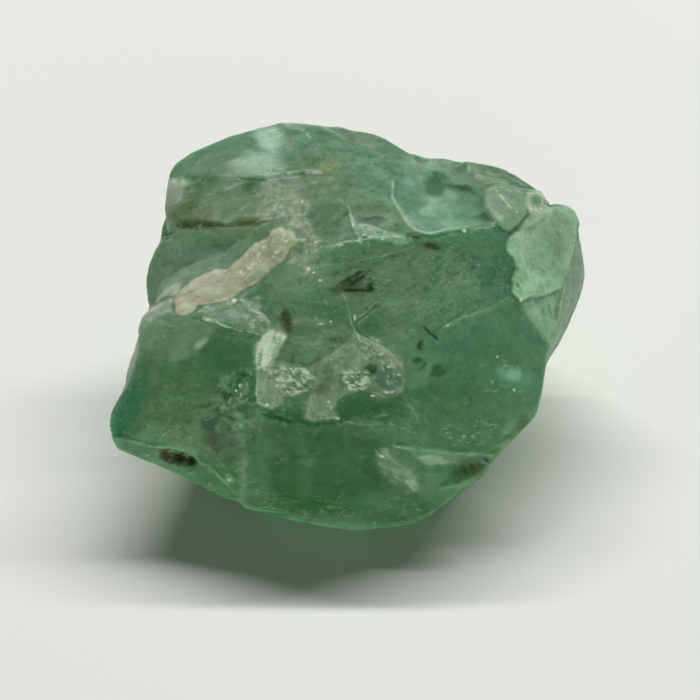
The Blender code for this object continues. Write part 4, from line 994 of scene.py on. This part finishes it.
# ------------------------------------------------------------------------------- the drawing sheet
def on_sheet(points):
    """Where points in mm fall on the drawing sheet, in dots to the right and down."""
    away = points - (TARGET + BACK * STATION_DISTANCE)
    scale = DOTS_PER_MM * STATION_DISTANCE / -(away @ BACK)
    return np.column_stack([SHEET_MIDDLE + scale * (away @ RIGHT), SHEET_MIDDLE - scale * (away @ UP)])


def front_share(normal):
    """1 where the stone faces the front, which the marks are drawn on, and 0 behind."""
    return smoothstep(*FRONT_EDGE, normal @ BACK)


def drifted(points, dots, size, push):
    """Dots pushed sideways by noise of the given size in mm, so that drawn edges wander."""
    drift = np.stack([clouds(points, size, 3, seed) for seed in DRIFT_SEEDS], 1)
    return dots + push * drift


def to_line(dots, line):
    """Distance in dots to the nearest straight run of a line."""
    x, y = dots.T
    nearest = np.full(len(dots), FAR)
    for (ax, ay), (bx, by) in zip(line, line[1:]):
        along = (x - ax) * (bx - ax) + (y - ay) * (by - ay)
        part = np.clip(along / ((bx - ax) ** 2 + (by - ay) ** 2), 0.0, 1.0)
        nearest = np.minimum(nearest, np.hypot(x - ax - part * (bx - ax), y - ay - part * (by - ay)))
    return nearest


def in_outline(dots, outline):
    """Signed distance in dots to a closed outline: positive inside, by the crossing rule."""
    x, y = dots.T
    closed = outline + outline[:1]
    inside = np.zeros(len(dots), bool)
    for (ax, ay), (bx, by) in zip(closed, closed[1:]):
        crosses = (ay > y) != (by > y)
        rise = by - ay if by != ay else 1.0
        inside ^= crosses & (x < (bx - ax) * (y - ay) / rise + ax)
    nearest = to_line(dots, closed)
    return np.where(inside, nearest, -nearest)


def turned_dots(dots, turn):
    """Lengths along and across a direction that is turned by degrees from the right."""
    c, s = math.cos(math.radians(turn)), math.sin(math.radians(turn))
    return c * dots[:, 0] + s * dots[:, 1], c * dots[:, 1] - s * dots[:, 0]


def in_ellipse(dots, middle, half, turn):
    """Signed distance in dots to an ellipse, taken along the line to its middle."""
    along, across = turned_dots(dots - middle, turn)
    return (1.0 - np.hypot(along / half[0], across / half[1])) * min(half)


def grained(dots, turn, wide, long, seed):
    """Noise over the sheet, its marks as wide and long as given in dots, along the given turn."""
    along, across = turned_dots(dots, turn)
    return clouds(np.column_stack([along / long, across / wide, np.zeros(len(dots))]), 1.0, 2, seed)


def shards(dots, spacing, longer, seed):
    """Random cells stretched along random directions: each dot's own cell tone and tilt.

    Each cell's middle has a direction, a tone and a slope.  A dot takes those of the cell whose
    middle is nearest when lengths along that direction count 1 / longer.
    """
    pick = np.random.default_rng(seed)
    count = int(FIELD_SPAN.prod() / spacing ** 2)
    middles = FIELD_CORNER + FIELD_SPAN * pick.random((count, 2))
    turn = np.degrees(pick.random(count) * math.pi)
    tone = pick.uniform(-1.0, 1.0, count)
    slope = pick.normal(0.0, 1.0, (count, 2))
    nearest = np.full(len(dots), FAR)
    own = np.zeros(len(dots), int)
    order = np.argsort(dots[:, 0])
    sorted_x = dots[order, 0]
    reach = 3.0 * spacing
    for cell, (x, y) in enumerate(middles):
        some = order[np.searchsorted(sorted_x, x - reach):np.searchsorted(sorted_x, x + reach)]
        some = some[np.abs(dots[some, 1] - y) < reach]
        along, across = turned_dots(dots[some] - (x, y), turn[cell])
        far = np.hypot(along / longer, across)
        closer = far < nearest[some]
        own[some[closer]] = cell
        nearest[some[closer]] = far[closer]
    tilt = ((dots - middles[own]) * slope[own]).sum(1) / spacing
    return tone[own], np.clip(tilt, -1.5, 1.5)


def lines_on(dots, lines):
    """Distance in dots to the nearest stroke's rim, positive inside it, and that stroke's strength."""
    best = np.full(len(dots), OUTSIDE)
    strength = np.zeros(len(dots))
    for half_width, weight, line in lines:
        inside = half_width - to_line(dots, line)
        strength = np.where(inside > best, weight, strength)
        best = np.maximum(best, inside)
    return best, strength * smoothstep(-6.0, -4.0, best)


# ------------------------------------------------------------------------------ the stone's surface
def filled(points, outline, lift, fade, deepest):
    """The points inside an outline brought forward onto one smooth sheet over what lies there.

    depth = a + b x + c y + d x^2 + e x y + f y^2, fitted again and again to the foremost points.
    """
    dots = on_sheet(points)
    depth = points @ BACK
    inside = in_outline(dots, outline)
    some = np.where((inside > -SHEET_RIM) & (depth > depth[inside > 0.0].max() - SHEET_REACH))[0]
    x, y = ((dots - np.mean(outline, axis=0)) / SHEET_SCALE).T
    terms = np.column_stack([np.ones(len(x)), x, y, x * x, x * y, y * y])
    for _ in range(SHEET_FITS):
        factors = np.linalg.lstsq(terms[some], depth[some], rcond=None)[0]
        over = depth[some] - terms[some] @ factors
        some = some[over > np.quantile(over, SHEET_DROPPED)]
    short = terms @ factors + lift - depth
    share = smoothstep(-2.0, fade, inside) * smoothstep(deepest, 0.7 * deepest, short)
    return points + (share * np.maximum(short, 0.0))[:, None] * BACK


def bare_stone():
    """The broken surface with no relief on it, its deep folds bridged and evened out, and its cells."""
    rays, cells = ray_grid(GRID)
    broken = even_out(HEART + rays * stone_reach(rays)[:, None], cells, BROKEN_ROUNDS)
    bridged = broken
    for fold in FILLED:
        bridged = filled(bridged - MIDDLE, *fold) + MIDDLE
    moved = np.linalg.norm(bridged - broken, axis=1)
    return even_out(bridged, cells, BRIDGED_ROUNDS, smoothstep(*BRIDGED, moved)), cells


def stone_relief(bare, normal):
    """How far the surface rises from the bare stone along its normal, in mm.

    The waves and the shallow bowls run all round.  The seam, the ledges, the ribs, the shards, the
    crack and the pit are on the front.
    """
    front = front_share(normal)
    plain_dots = on_sheet(bare - MIDDLE)
    dots = drifted(bare, plain_dots, *EDGE_DRIFT)
    pick = np.random.default_rng(BOWL_SEED)
    middles = bare[pick.choice(len(bare), BOWL_COUNT, replace=False)]
    relief = BOWL_HEIGHT * (bowls(bare, middles, BOWL_SIZE) - BOWL_LEVEL)
    for before, behind, size, octaves, seed in WAVES:
        relief += (behind + (before - behind) * front) * clouds(bare, size, octaves, seed)
    lumps = clouds(bare, *CLOUDS["seam lumps"])
    raised = smoothstep(-1.0, 7.0, in_outline(dots, SEAM) + 1.5 * lumps)
    drawn = raised * (SEAM_HEIGHT + SEAM_LUMPS * lumps)
    for height, soft, outline in LEDGES:
        drawn += height * smoothstep(-soft, soft, in_outline(dots, outline))
    for height, soft, line in RIBS:
        drawn += height * smoothstep(-soft, 0.0, -to_line(dots, line))
    broken = sum(smoothstep(-3.0, 3.0, in_outline(dots, outline)) for outline in (SPARKS, RAGGED))
    tone, tilt = shards(plain_dots, *RELIEF_SHARDS)
    drawn += (SHARD_HEIGHT + BROKEN_HEIGHT * broken) * (0.7 * tone + tilt)
    drawn -= CRACK_DEPTH * smoothstep(-1.0, 3.0, CRACK_HALF_WIDTH - to_line(dots, CRACK))
    drawn -= PIT_DEPTH * smoothstep(-1.0, 3.0, in_ellipse(dots, *PIT))
    return relief + front * drawn


def stone_surface():
    """The stone's points, cells and normals, moved to the middle and flat where it rests."""
    bare, cells = bare_stone()
    normal = point_normals(bare, cells)
    points = bare + normal * stone_relief(bare, normal)[:, None] - MIDDLE
    points[:, 2] = np.maximum(points[:, 2], 0.0)
    return points, cells, point_normals(points, cells)


def new_mesh(name, points, faces):
    """A smooth-shaded object with its place in its mesh, from points in mm and faces."""
    mesh = bpy.data.meshes.new(name)
    mesh.from_pydata((points * MM).tolist(), [], faces.tolist())
    mesh.shade_smooth()
    thing = bpy.data.objects.new(name, mesh)
    bpy.context.scene.collection.objects.link(thing)
    return thing


def add_values(mesh, name, values):
    """Keep a number or a colour for each point of the mesh under the given name."""
    if values.ndim == 1:
        mesh.attributes.new(name, "FLOAT", "POINT").data.foreach_set("value", values.astype(np.float32))
        return
    full = np.column_stack([values, np.ones(len(values))]).astype(np.float32)
    mesh.attributes.new(name, "FLOAT_COLOR", "POINT").data.foreach_set("color", full.ravel())


# ------------------------------------------------------------------------------- the stone's colour
def linear(red, green, blue):
    """A display colour of 0 to 255 as linear light: ((v + 0.055) / 1.055)^2.4, or v / 12.92 if dark."""
    value = np.array([red, green, blue]) / 255.0
    return np.where(value <= 0.04045, value / 12.92, ((value + 0.055) / 1.055) ** 2.4)


LIT = {name: linear(*value) for name, value in PALETTE.items()}
OWN = {name: OWN_TONE * value for name, value in LIT.items()}


class Coat:
    """The stone's colour, with its painted light and shade, frost and sparkle at each point, as marks
    are laid on it in turn.

    A mark's weight is an S curve of the signed distance to its outline in dots, pushed in and out
    by soft noise.
    """

    def __init__(self, points, normal):
        """Greens that drift through the whole stone, with frost and sparkle round the back."""
        self.points = points
        self.front = front_share(normal)
        self.plain_dots = on_sheet(points)
        self.dots = drifted(points, self.plain_dots, *EDGE_DRIFT)
        self.wobble = clouds(points, *CLOUDS["wobble"])
        sage = smoothstep(-0.9, 0.9, clouds(points, *CLOUDS["sage"]))[:, None]
        teal = 0.6 * smoothstep(-0.8, 0.8, clouds(points, *CLOUDS["teal"]))[:, None]
        self.tint = OWN["emerald"] * (1.0 - sage) + OWN["sage"] * sage
        self.tint = self.tint * (1.0 - teal) + OWN["teal"] * teal
        back = 0.6 * (1.0 - self.front)
        self.frost = back * smoothstep(0.3, 0.9, clouds(points, *CLOUDS["frost"]))
        self.sparkle = back * smoothstep(0.5, 1.0, clouds(points, *CLOUDS["sparkle"]))
        self.blend("frost", self.frost)

    def blend(self, name, weight):
        """Lay a colour over what is there, on every side: tint + (colour - tint) weight."""
        self.tint = self.tint + (OWN[name] - self.tint) * weight[:, None]

    def lay(self, name, weight):
        """Lay a colour over what is there, on the front only, and give the weight that it took."""
        weight = weight * self.front
        self.blend(name, weight)
        return weight

    def washes(self):
        """The broad washes of WASHES."""
        dots = drifted(self.points, self.plain_dots, *WASH_DRIFT)
        for name, strength, soft, *ellipse in WASHES:
            inside = in_ellipse(dots, *ellipse)
            self.lay(name, strength * smoothstep(-0.5 * soft, 0.5 * soft, inside))

    def patches(self):
        """The outlined patches of PATCHES, with light and dark shards where they sparkle."""
        wide_tone = shards(self.plain_dots, *WIDE_SHARDS)[0]
        fine_tone = shards(self.plain_dots, *FINE_SHARDS)[0]
        for name, strength, soft, push, frost, sparkle, outline in PATCHES:
            inside = in_outline(self.dots, outline) + 0.5 * push * self.wobble
            inside = smoothstep(-soft, soft, inside)
            weight = self.lay(name, strength * inside * (1.0 + 0.25 * wide_tone))
            self.lay("ice", 0.45 * sparkle * inside * smoothstep(0.35, 0.75, fine_tone))
            self.lay("deep", 0.55 * sparkle * inside * smoothstep(-0.4, -0.8, fine_tone))
            self.frost = np.maximum(self.frost, frost * weight)
            self.sparkle = np.maximum(self.sparkle, sparkle * inside * self.front)

    def grains(self):
        """The grained patches of GRAINS, stronger in some clumps than in others."""
        clumps = smoothstep(-0.3, 0.4, clouds(self.points, *CLOUDS["clumps"]))
        for count, (name, strength, turn, wide, long, levels, soft, outline) in enumerate(GRAINS):
            inside = smoothstep(-soft, soft, in_outline(self.dots, outline) + 2.0 * self.wobble)
            marks = smoothstep(*levels, grained(self.dots, turn, wide, long, GRAIN_SEED + count))
            self.lay(name, strength * inside * marks * (0.55 + 0.45 * clumps))

    def blobs(self):
        """The small marks of BLOBS."""
        for name, strength, soft, push, *ellipse in BLOBS:
            inside = in_ellipse(self.dots, *ellipse) + 0.6 * push * self.wobble
            self.lay(name, strength * smoothstep(-soft, 0.5 * soft, inside))

    def matrix_seam(self):
        """The pale seam with its cream rim and pale specks.  The share of it at each point."""
        inside = in_outline(self.dots, SEAM) + 1.2 * clouds(self.points, *CLOUDS["seam rim"])
        within = smoothstep(-0.8, 0.8, inside)
        seam = self.lay("seam", within)
        in_top = in_outline(self.dots, SEAM_TOP)
        self.lay("seam", 0.35 * smoothstep(-2.0, 2.0, in_top))
        self.lay("ash", 0.35 * smoothstep(-2.0, 2.0, in_outline(self.dots, SEAM_LOW)))
        self.lay("cream", 0.20 * within * smoothstep(6.0, 1.5, inside + 2.0 * self.wobble))
        speck = smoothstep(0.45, 0.7, grained(self.dots, *SEAM_SPECKS))
        self.lay("glint", 0.28 * speck * smoothstep(-1.0, 2.0, in_top))
        return seam

    def edge_highlight_and_hollow_shade(self, proud, crystal):
        """Proud edges paler, partly as frost and partly as painted highlight, and hollows a deeper green
        as painted shade, by how proud each point stands in mm.
        """
        uneven = 0.012 * clouds(self.points, *CLOUDS["edge_highlight_and_hollow_shade"])
        self.blend("frost", 0.24 * crystal * smoothstep(*EDGE_HIGHLIGHT, proud + uneven))
        self.blend("emerald", 0.30 * crystal * smoothstep(*HOLLOW_SHADE, proud))

    def pit_and_mica(self):
        """The brown pit with cream streaks, and the mica in it.  The share of mica at each point."""
        pit = smoothstep(-1.5, 1.5, in_ellipse(self.dots, *PIT))
        self.lay("umber", 0.85 * pit)
        streaks = smoothstep(0.1, 0.5, grained(self.dots, *PIT_STREAKS))
        self.lay("cream", 0.45 * pit * streaks)
        mica = np.zeros(len(pit))
        for outline in MICA:
            inside = smoothstep(-0.8, 0.8, in_outline(self.plain_dots, outline))
            mica = np.maximum(mica, self.lay("ink", inside))
        return mica


def stone_values(points, cells, normal):
    """Every value that the finish reads at each point, by name."""
    coat = Coat(points, normal)
    coat.washes()
    coat.patches()
    coat.grains()
    coat.blobs()
    seam = coat.matrix_seam()
    coat.edge_highlight_and_hollow_shade(proud_of(points, cells, normal), 1.0 - seam)
    mica = coat.pit_and_mica()
    crack_and_highlight, crack_and_highlight_weight = lines_on(coat.dots, CRACKS_AND_HIGHLIGHT_LINES)
    needle, needle_weight = lines_on(coat.dots, NEEDLES)
    glint = np.full(len(points), OUTSIDE)
    for middle, half in GLINTS:
        glint = np.maximum(glint, in_ellipse(coat.dots, middle, half, 0))
    even = np.zeros(len(points))
    for strength, soft, outline in EVEN:
        even = np.maximum(even, strength * smoothstep(-soft, soft, in_outline(coat.dots, outline)))
    matt = smoothstep(-8.0, 4.0, in_outline(coat.dots, BOWL))
    return {
        "tint": coat.tint, "frost": coat.frost, "sparkle": coat.sparkle, "seam": seam, "mica": mica,
        "matt": matt * coat.front, "even": even * coat.front,
        "crack_and_highlight": crack_and_highlight, "crack_and_highlight_weight": crack_and_highlight_weight * coat.front,
        "needle": needle, "needle_weight": needle_weight * coat.front,
        "glint": glint + OUTSIDE * (1.0 - coat.front),
    }


# ----------------------------------------------------------------------------------------- finishes
class Tree:
    """A finish being wired: nodes are added by type, with their inputs set or linked by name."""

    def __init__(self, name):
        """A new finish with its shader, and each point's place on the piece."""
        self.finish = bpy.data.materials.new(name)
        self.finish.use_nodes = True
        self.nodes = self.finish.node_tree.nodes
        self.links = self.finish.node_tree.links
        self.shader = self.nodes["Principled BSDF"]
        self.place = self.add("ShaderNodeTexCoord").outputs["Object"]

    def add(self, kind, settings=None, **inputs):
        """A new node: settings are its own properties, inputs its sockets."""
        node = self.nodes.new(kind)
        for name, value in (settings or {}).items():
            setattr(node, name, value)
        for name, value in inputs.items():
            self.set(node.inputs[name.replace("_", " ")], value)
        return node

    def set(self, socket, value):
        """Link an output to the socket, or write a fixed value on it."""
        if isinstance(value, bpy.types.NodeSocket):
            self.links.new(value, socket)
        else:
            socket.default_value = value

    def value(self, name, output="Fac"):
        """One of the surface's own values."""
        return self.add("ShaderNodeAttribute", {"attribute_name": name}).outputs[output]

    def math(self, operation, a, b):
        """One arithmetic step."""
        node = self.add("ShaderNodeMath", {"operation": operation})
        self.set(node.inputs[0], a)
        self.set(node.inputs[1], b)
        return node.outputs[0]

    def plus(self, a, b):
        """The sum of two values."""
        return self.math("ADD", a, b)

    def times(self, *values):
        """The product of two or more values."""
        total = values[0]
        for value in values[1:]:
            total = self.math("MULTIPLY", total, value)
        return total

    def vector(self, operation, *inputs):
        """One arithmetic step on vectors."""
        node = self.add("ShaderNodeVectorMath", {"operation": operation})
        for socket, value in zip(node.inputs, inputs):
            self.set(socket, value)
        return node.outputs["Vector"]

    def ramp(self, value, low, high, to_low=0.0, to_high=1.0):
        """The value carried from the range low to high onto to_low to to_high, smoothly."""
        node = self.add("ShaderNodeMapRange", {"interpolation_type": "SMOOTHSTEP"}, Value=value,
                        From_Min=low, From_Max=high, To_Min=to_low, To_Max=to_high)
        return node.outputs["Result"]

    def mix(self, share, a, b):
        """Colour b laid over colour a by the share."""
        node = self.add("ShaderNodeMix", {"data_type": "RGBA"}, Factor=share, A=a, B=(*b, 1.0))
        return node.outputs["Result"]

    def noise(self, size, detail=3.0, rough=0.5, place=None, output="Fac"):
        """Noise whose blotches are about the given size in mm."""
        node = self.add("ShaderNodeTexNoise", None, Vector=place or self.place, Scale=1.0 / (size * MM),
                        Detail=detail, Roughness=rough)
        return node.outputs[output]

    def cells(self, size, place):
        """Random cells of the given size in mm: the distance to a middle, and each cell's colour."""
        node = self.add("ShaderNodeTexVoronoi", {"feature": "F1"}, Vector=place, Scale=1.0 / (size * MM))
        pick = self.add("ShaderNodeSeparateColor", None, Color=node.outputs["Color"])
        return node.outputs["Distance"], pick.outputs


class EmeraldTree(Tree):
    """Green beryl, milky and included: see-through in part, with frost, hairlines, seam and mica.

    Each step lays one kind of mark over the colour, as colour + (mark - colour) share.
    """

    def __init__(self):
        """The values and noises that more than one step reads."""
        super().__init__("emerald")
        self.frost = self.value("frost")
        self.sparkle = self.value("sparkle")
        self.seam = self.value("seam")
        self.busy = self.math("SUBTRACT", 1.0, self.value("even"))
        self.mottle = self.noise(*GRAIN["mottle"])
        self.fine = self.noise(*GRAIN["fine"])
        self.patchy = self.ramp(self.noise(*GRAIN["patches"]), 0.52, 0.66)
        push = self.noise(*GRAIN["warp"], output="Color")
        push = self.vector("SUBTRACT", push, (0.5, 0.5, 0.5))
        self.warped = self.vector("MULTIPLY_ADD", push, (WARP_PUSH * MM,) * 3, self.place)
        self.crumb_distance, self.crumb_pick = self.cells(CRUMB_SIZE, self.warped)
        self.solid = self.math("MAXIMUM", self.math("MAXIMUM", self.seam, self.value("mica")),
                               self.times(self.frost, 0.6))

    def own_colour(self):
        """The surface's tint, made lighter and darker by blotches, fine grain and curds."""
        blotches = self.ramp(self.mottle, 0.25, 0.75, 0.90, 1.10)
        grain = self.ramp(self.fine, 0.3, 0.7, -0.04, 0.04)
        curds = self.ramp(self.noise(*GRAIN["curds"]), 0.3, 0.7, -0.08, 0.08)
        shade = self.plus(self.plus(blotches, grain), curds)
        tint = self.value("tint", "Color")
        scale = self.add("ShaderNodeVectorMath", {"operation": "SCALE"}, Vector=tint, Scale=shade)
        return scale.outputs["Vector"]

    def threads(self, colour):
        """Thin pale threads, where a noise passes its middle value."""
        level = self.math("SUBTRACT", self.noise(*GRAIN["threads"], place=self.warped), 0.5)
        thread = self.ramp(self.math("ABSOLUTE", level, 0.0), 0.0, THREAD_WIDTH, 1.0, 0.0)
        weight = self.ramp(self.fine, 0.35, 0.65, 0.0, 0.34)
        return self.mix(self.times(thread, self.patchy, weight), colour, OWN["ice"])

    def dashes(self, colour):
        """The short strokes of DASHES, each kind turned its own way."""
        for turn, (size, name, low, high, weight) in enumerate(DASHES):
            lie = self.add("ShaderNodeMapping", None, Vector=self.warped, Scale=(0.4, 1.0, 1.0),
                           Rotation=(0.0, 0.3 * turn, 0.5 * turn), Location=(turn * MM, 0.0, 0.0))
            dash = self.ramp(self.noise(size, 1.0, place=lie.outputs[0]), low, high, 0.0, weight)
            clump = self.ramp(self.noise(1.3 + 0.3 * turn, 2.0), 0.42, 0.60)
            colour = self.mix(self.times(dash, clump, self.busy), colour, OWN[name])
        return colour

    def flecks(self, colour):
        """The flecks of FLECKS: dots in the middles of some of the cells."""
        for size, name, low, high, reach, weight, channel in FLECKS:
            distance, pick = self.cells(size, self.warped)
            chosen = self.times(self.ramp(pick[channel], low, high), self.patchy, self.busy)
            dot = self.ramp(distance, 0.4 * reach, reach, weight, 0.0)
            colour = self.mix(self.times(chosen, dot), colour, OWN[name])
        return colour

    def crumbs(self, colour):
        """Grain on the frost and the seam, and pale and dark crumbs where the stone sparkles."""
        rime = self.times(self.frost, self.ramp(self.fine, 0.52, 0.68, 0.0, 0.30))
        pale = self.times(self.sparkle, self.ramp(self.crumb_pick["Red"], 0.80, 0.86, 0.0, 0.6))
        dark = self.times(self.sparkle, self.ramp(self.crumb_pick["Green"], 0.20, 0.14, 0.0, 0.5))
        curd = self.times(self.seam, self.ramp(self.fine, 0.50, 0.7, 0.0, 0.25))
        marks = ((rime, OWN["ice"]), (pale, OWN["ice"]), (dark, LIT["deep"]), (curd, SEAM_CURD))
        for share, mark in marks:
            colour = self.mix(share, colour, mark)
        return colour

    def drawn_lines(self, colour):
        """The pale hairline cracks and painted highlight lines, the needles and the painted glints, with
        rims made ragged by the fine grain.
        """
        ragged = self.times(self.math("SUBTRACT", self.fine, 0.5), 2.0)
        crack_and_highlight = self.ramp(self.plus(self.value("crack_and_highlight"), ragged), *LINE_RIM)
        crack_and_highlight = self.times(crack_and_highlight, self.ramp(self.noise(*GRAIN["broken hairs"]), 0.40, 0.58, 0.25, 1.0))
        colour = self.mix(self.times(crack_and_highlight, self.value("crack_and_highlight_weight")), colour, OWN["ice"])
        needle = self.ramp(self.plus(self.value("needle"), ragged), *LINE_RIM)
        colour = self.mix(self.times(needle, self.value("needle_weight")), colour, LIT["ink"])
        glint = self.ramp(self.plus(self.value("glint"), ragged), *GLINT_RIM)
        return self.mix(glint, colour, LIT["glint"])

    def roughness(self):
        """Glossy clear stone, duller where it is solid, mottled or matt, and glossier in the sparkle."""
        rough = self.plus(self.ramp(self.solid, 0.0, 1.0, CLEAR_ROUGHNESS, SOLID_ROUGHNESS),
                          self.ramp(self.mottle, 0.35, 0.7, -0.06, 0.14))
        rough = self.math("SUBTRACT", rough, self.times(self.sparkle, 0.18))
        return self.plus(rough, self.times(self.value("matt"), 0.4))

    def fine_relief(self):
        """Fine grain, broad grain and crumbs as a bump, too small for the mesh to hold."""
        grain = self.times(self.fine, self.ramp(self.solid, 0.0, 1.0, 0.2, 0.9))
        height = self.plus(grain, self.times(self.noise(*GRAIN["broad"]), 0.8))
        height = self.plus(height, self.times(self.sparkle, 1.4, self.crumb_distance))
        bump = self.add("ShaderNodeBump", None, Height=height, Strength=BUMP_STRENGTH,
                        Distance=BUMP_HEIGHT * MM)
        return bump.outputs["Normal"]


def emerald_finish():
    """The stone's one finish: its colour, then how clear, rough and deep it is."""
    wire = EmeraldTree()
    colour = wire.own_colour()
    for step in (wire.threads, wire.dashes, wire.flecks, wire.crumbs, wire.drawn_lines):
        colour = step(colour)
    for name, value in (
        ("Base Color", colour),
        ("Transmission Weight", wire.ramp(wire.solid, 0.0, 1.0, CLEAR_SHARE, 0.0)),
        ("Roughness", wire.roughness()),
        ("Normal", wire.fine_relief()),
        ("IOR", BERYL_INDEX),
        ("Specular IOR Level", GLOSS),
        ("Subsurface Weight", 1.0),
        ("Subsurface Radius", GLOW_RADIUS),
        ("Subsurface Scale", MM),
    ):
        wire.set(wire.shader.inputs[name], value)
    absorb = wire.add("ShaderNodeVolumeAbsorption", None, Color=(*linear(*ABSORBED), 1.0),
                      Density=ABSORPTION)
    wire.set(wire.nodes["Material Output"].inputs["Volume"], absorb.outputs[0])
    return wire.finish


def plain_finish(name, colour, roughness):
    """One even colour, given as display values of 0 to 255."""
    finish = bpy.data.materials.new(name)
    finish.use_nodes = True
    shader = finish.node_tree.nodes["Principled BSDF"]
    shader.inputs["Base Color"].default_value = (*linear(*colour), 1.0)
    shader.inputs["Roughness"].default_value = roughness
    return finish


# ----------------------------------------------------------------------------------------- assembly
def build_stone():
    """The whole stone as one closed surface with its values."""
    points, cells, normal = stone_surface()
    stone = new_mesh("crystal", points, cells)
    for name, values in stone_values(points, cells, normal).items():
        add_values(stone.data, name, values)
    stone.data.materials.append(emerald_finish())
    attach(stone, "root")
    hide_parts("emerald_crystal")


def build_floor():
    """The white board under the stone: one square at height 0."""
    corners = [(-FLOOR_HALF, -FLOOR_HALF), (FLOOR_HALF, -FLOOR_HALF), (FLOOR_HALF, FLOOR_HALF),
               (-FLOOR_HALF, FLOOR_HALF)]
    floor = new_mesh("floor", np.array([(x, y, 0.0) for x, y in corners]), np.array([[0, 1, 2, 3]]))
    floor.data.materials.append(plain_finish("white_board", *BOARD))


def build_lamp(name, direction, distance, wide, high, power, hue):
    """A rectangular lamp in the given direction, turned to the X axis, with its long side along it."""
    light = bpy.data.lights.new(name, "AREA")
    light.shape = "RECTANGLE"
    light.size = wide * MM
    light.size_y = high * MM
    light.energy = power
    light.color = hue
    lamp = bpy.data.objects.new(name, light)
    bpy.context.scene.collection.objects.link(lamp)
    toward = Vector(direction).normalized()
    lamp.location = toward * distance * MM
    lamp.rotation_euler = Vector((0.0, -toward.y, -toward.z)).to_track_quat("-Z", "Y").to_euler()
    return lamp


def build_light():
    """A dim even room, a long lamp behind and a low broad fill in front."""
    world = bpy.data.worlds.new("room")
    world.use_nodes = True
    room = world.node_tree.nodes["Background"].inputs
    room["Color"].default_value = (*ROOM_HUE, 1.0)
    room["Strength"].default_value = ROOM_LIGHT
    bpy.context.scene.world = world
    build_lamp("key", *KEY)
    build_lamp("fill", *FILL).visible_glossy = False


def build_camera():
    """The station in front of the stone, looking down at the target."""
    scene = bpy.context.scene
    lens = bpy.data.cameras.new("camera")
    lens.lens = LENS
    lens.sensor_width = FILM
    lens.clip_start = MM
    camera = bpy.data.objects.new("camera", lens)
    scene.collection.objects.link(camera)
    camera.location = Vector((TARGET + BACK * STATION_DISTANCE) * MM)
    camera.rotation_euler = Vector(-BACK).to_track_quat("-Z", "Y").to_euler()
    scene.camera = camera
    scene.view_settings.view_transform = "Standard"


build_stone()
build_floor()
build_light()
build_camera()
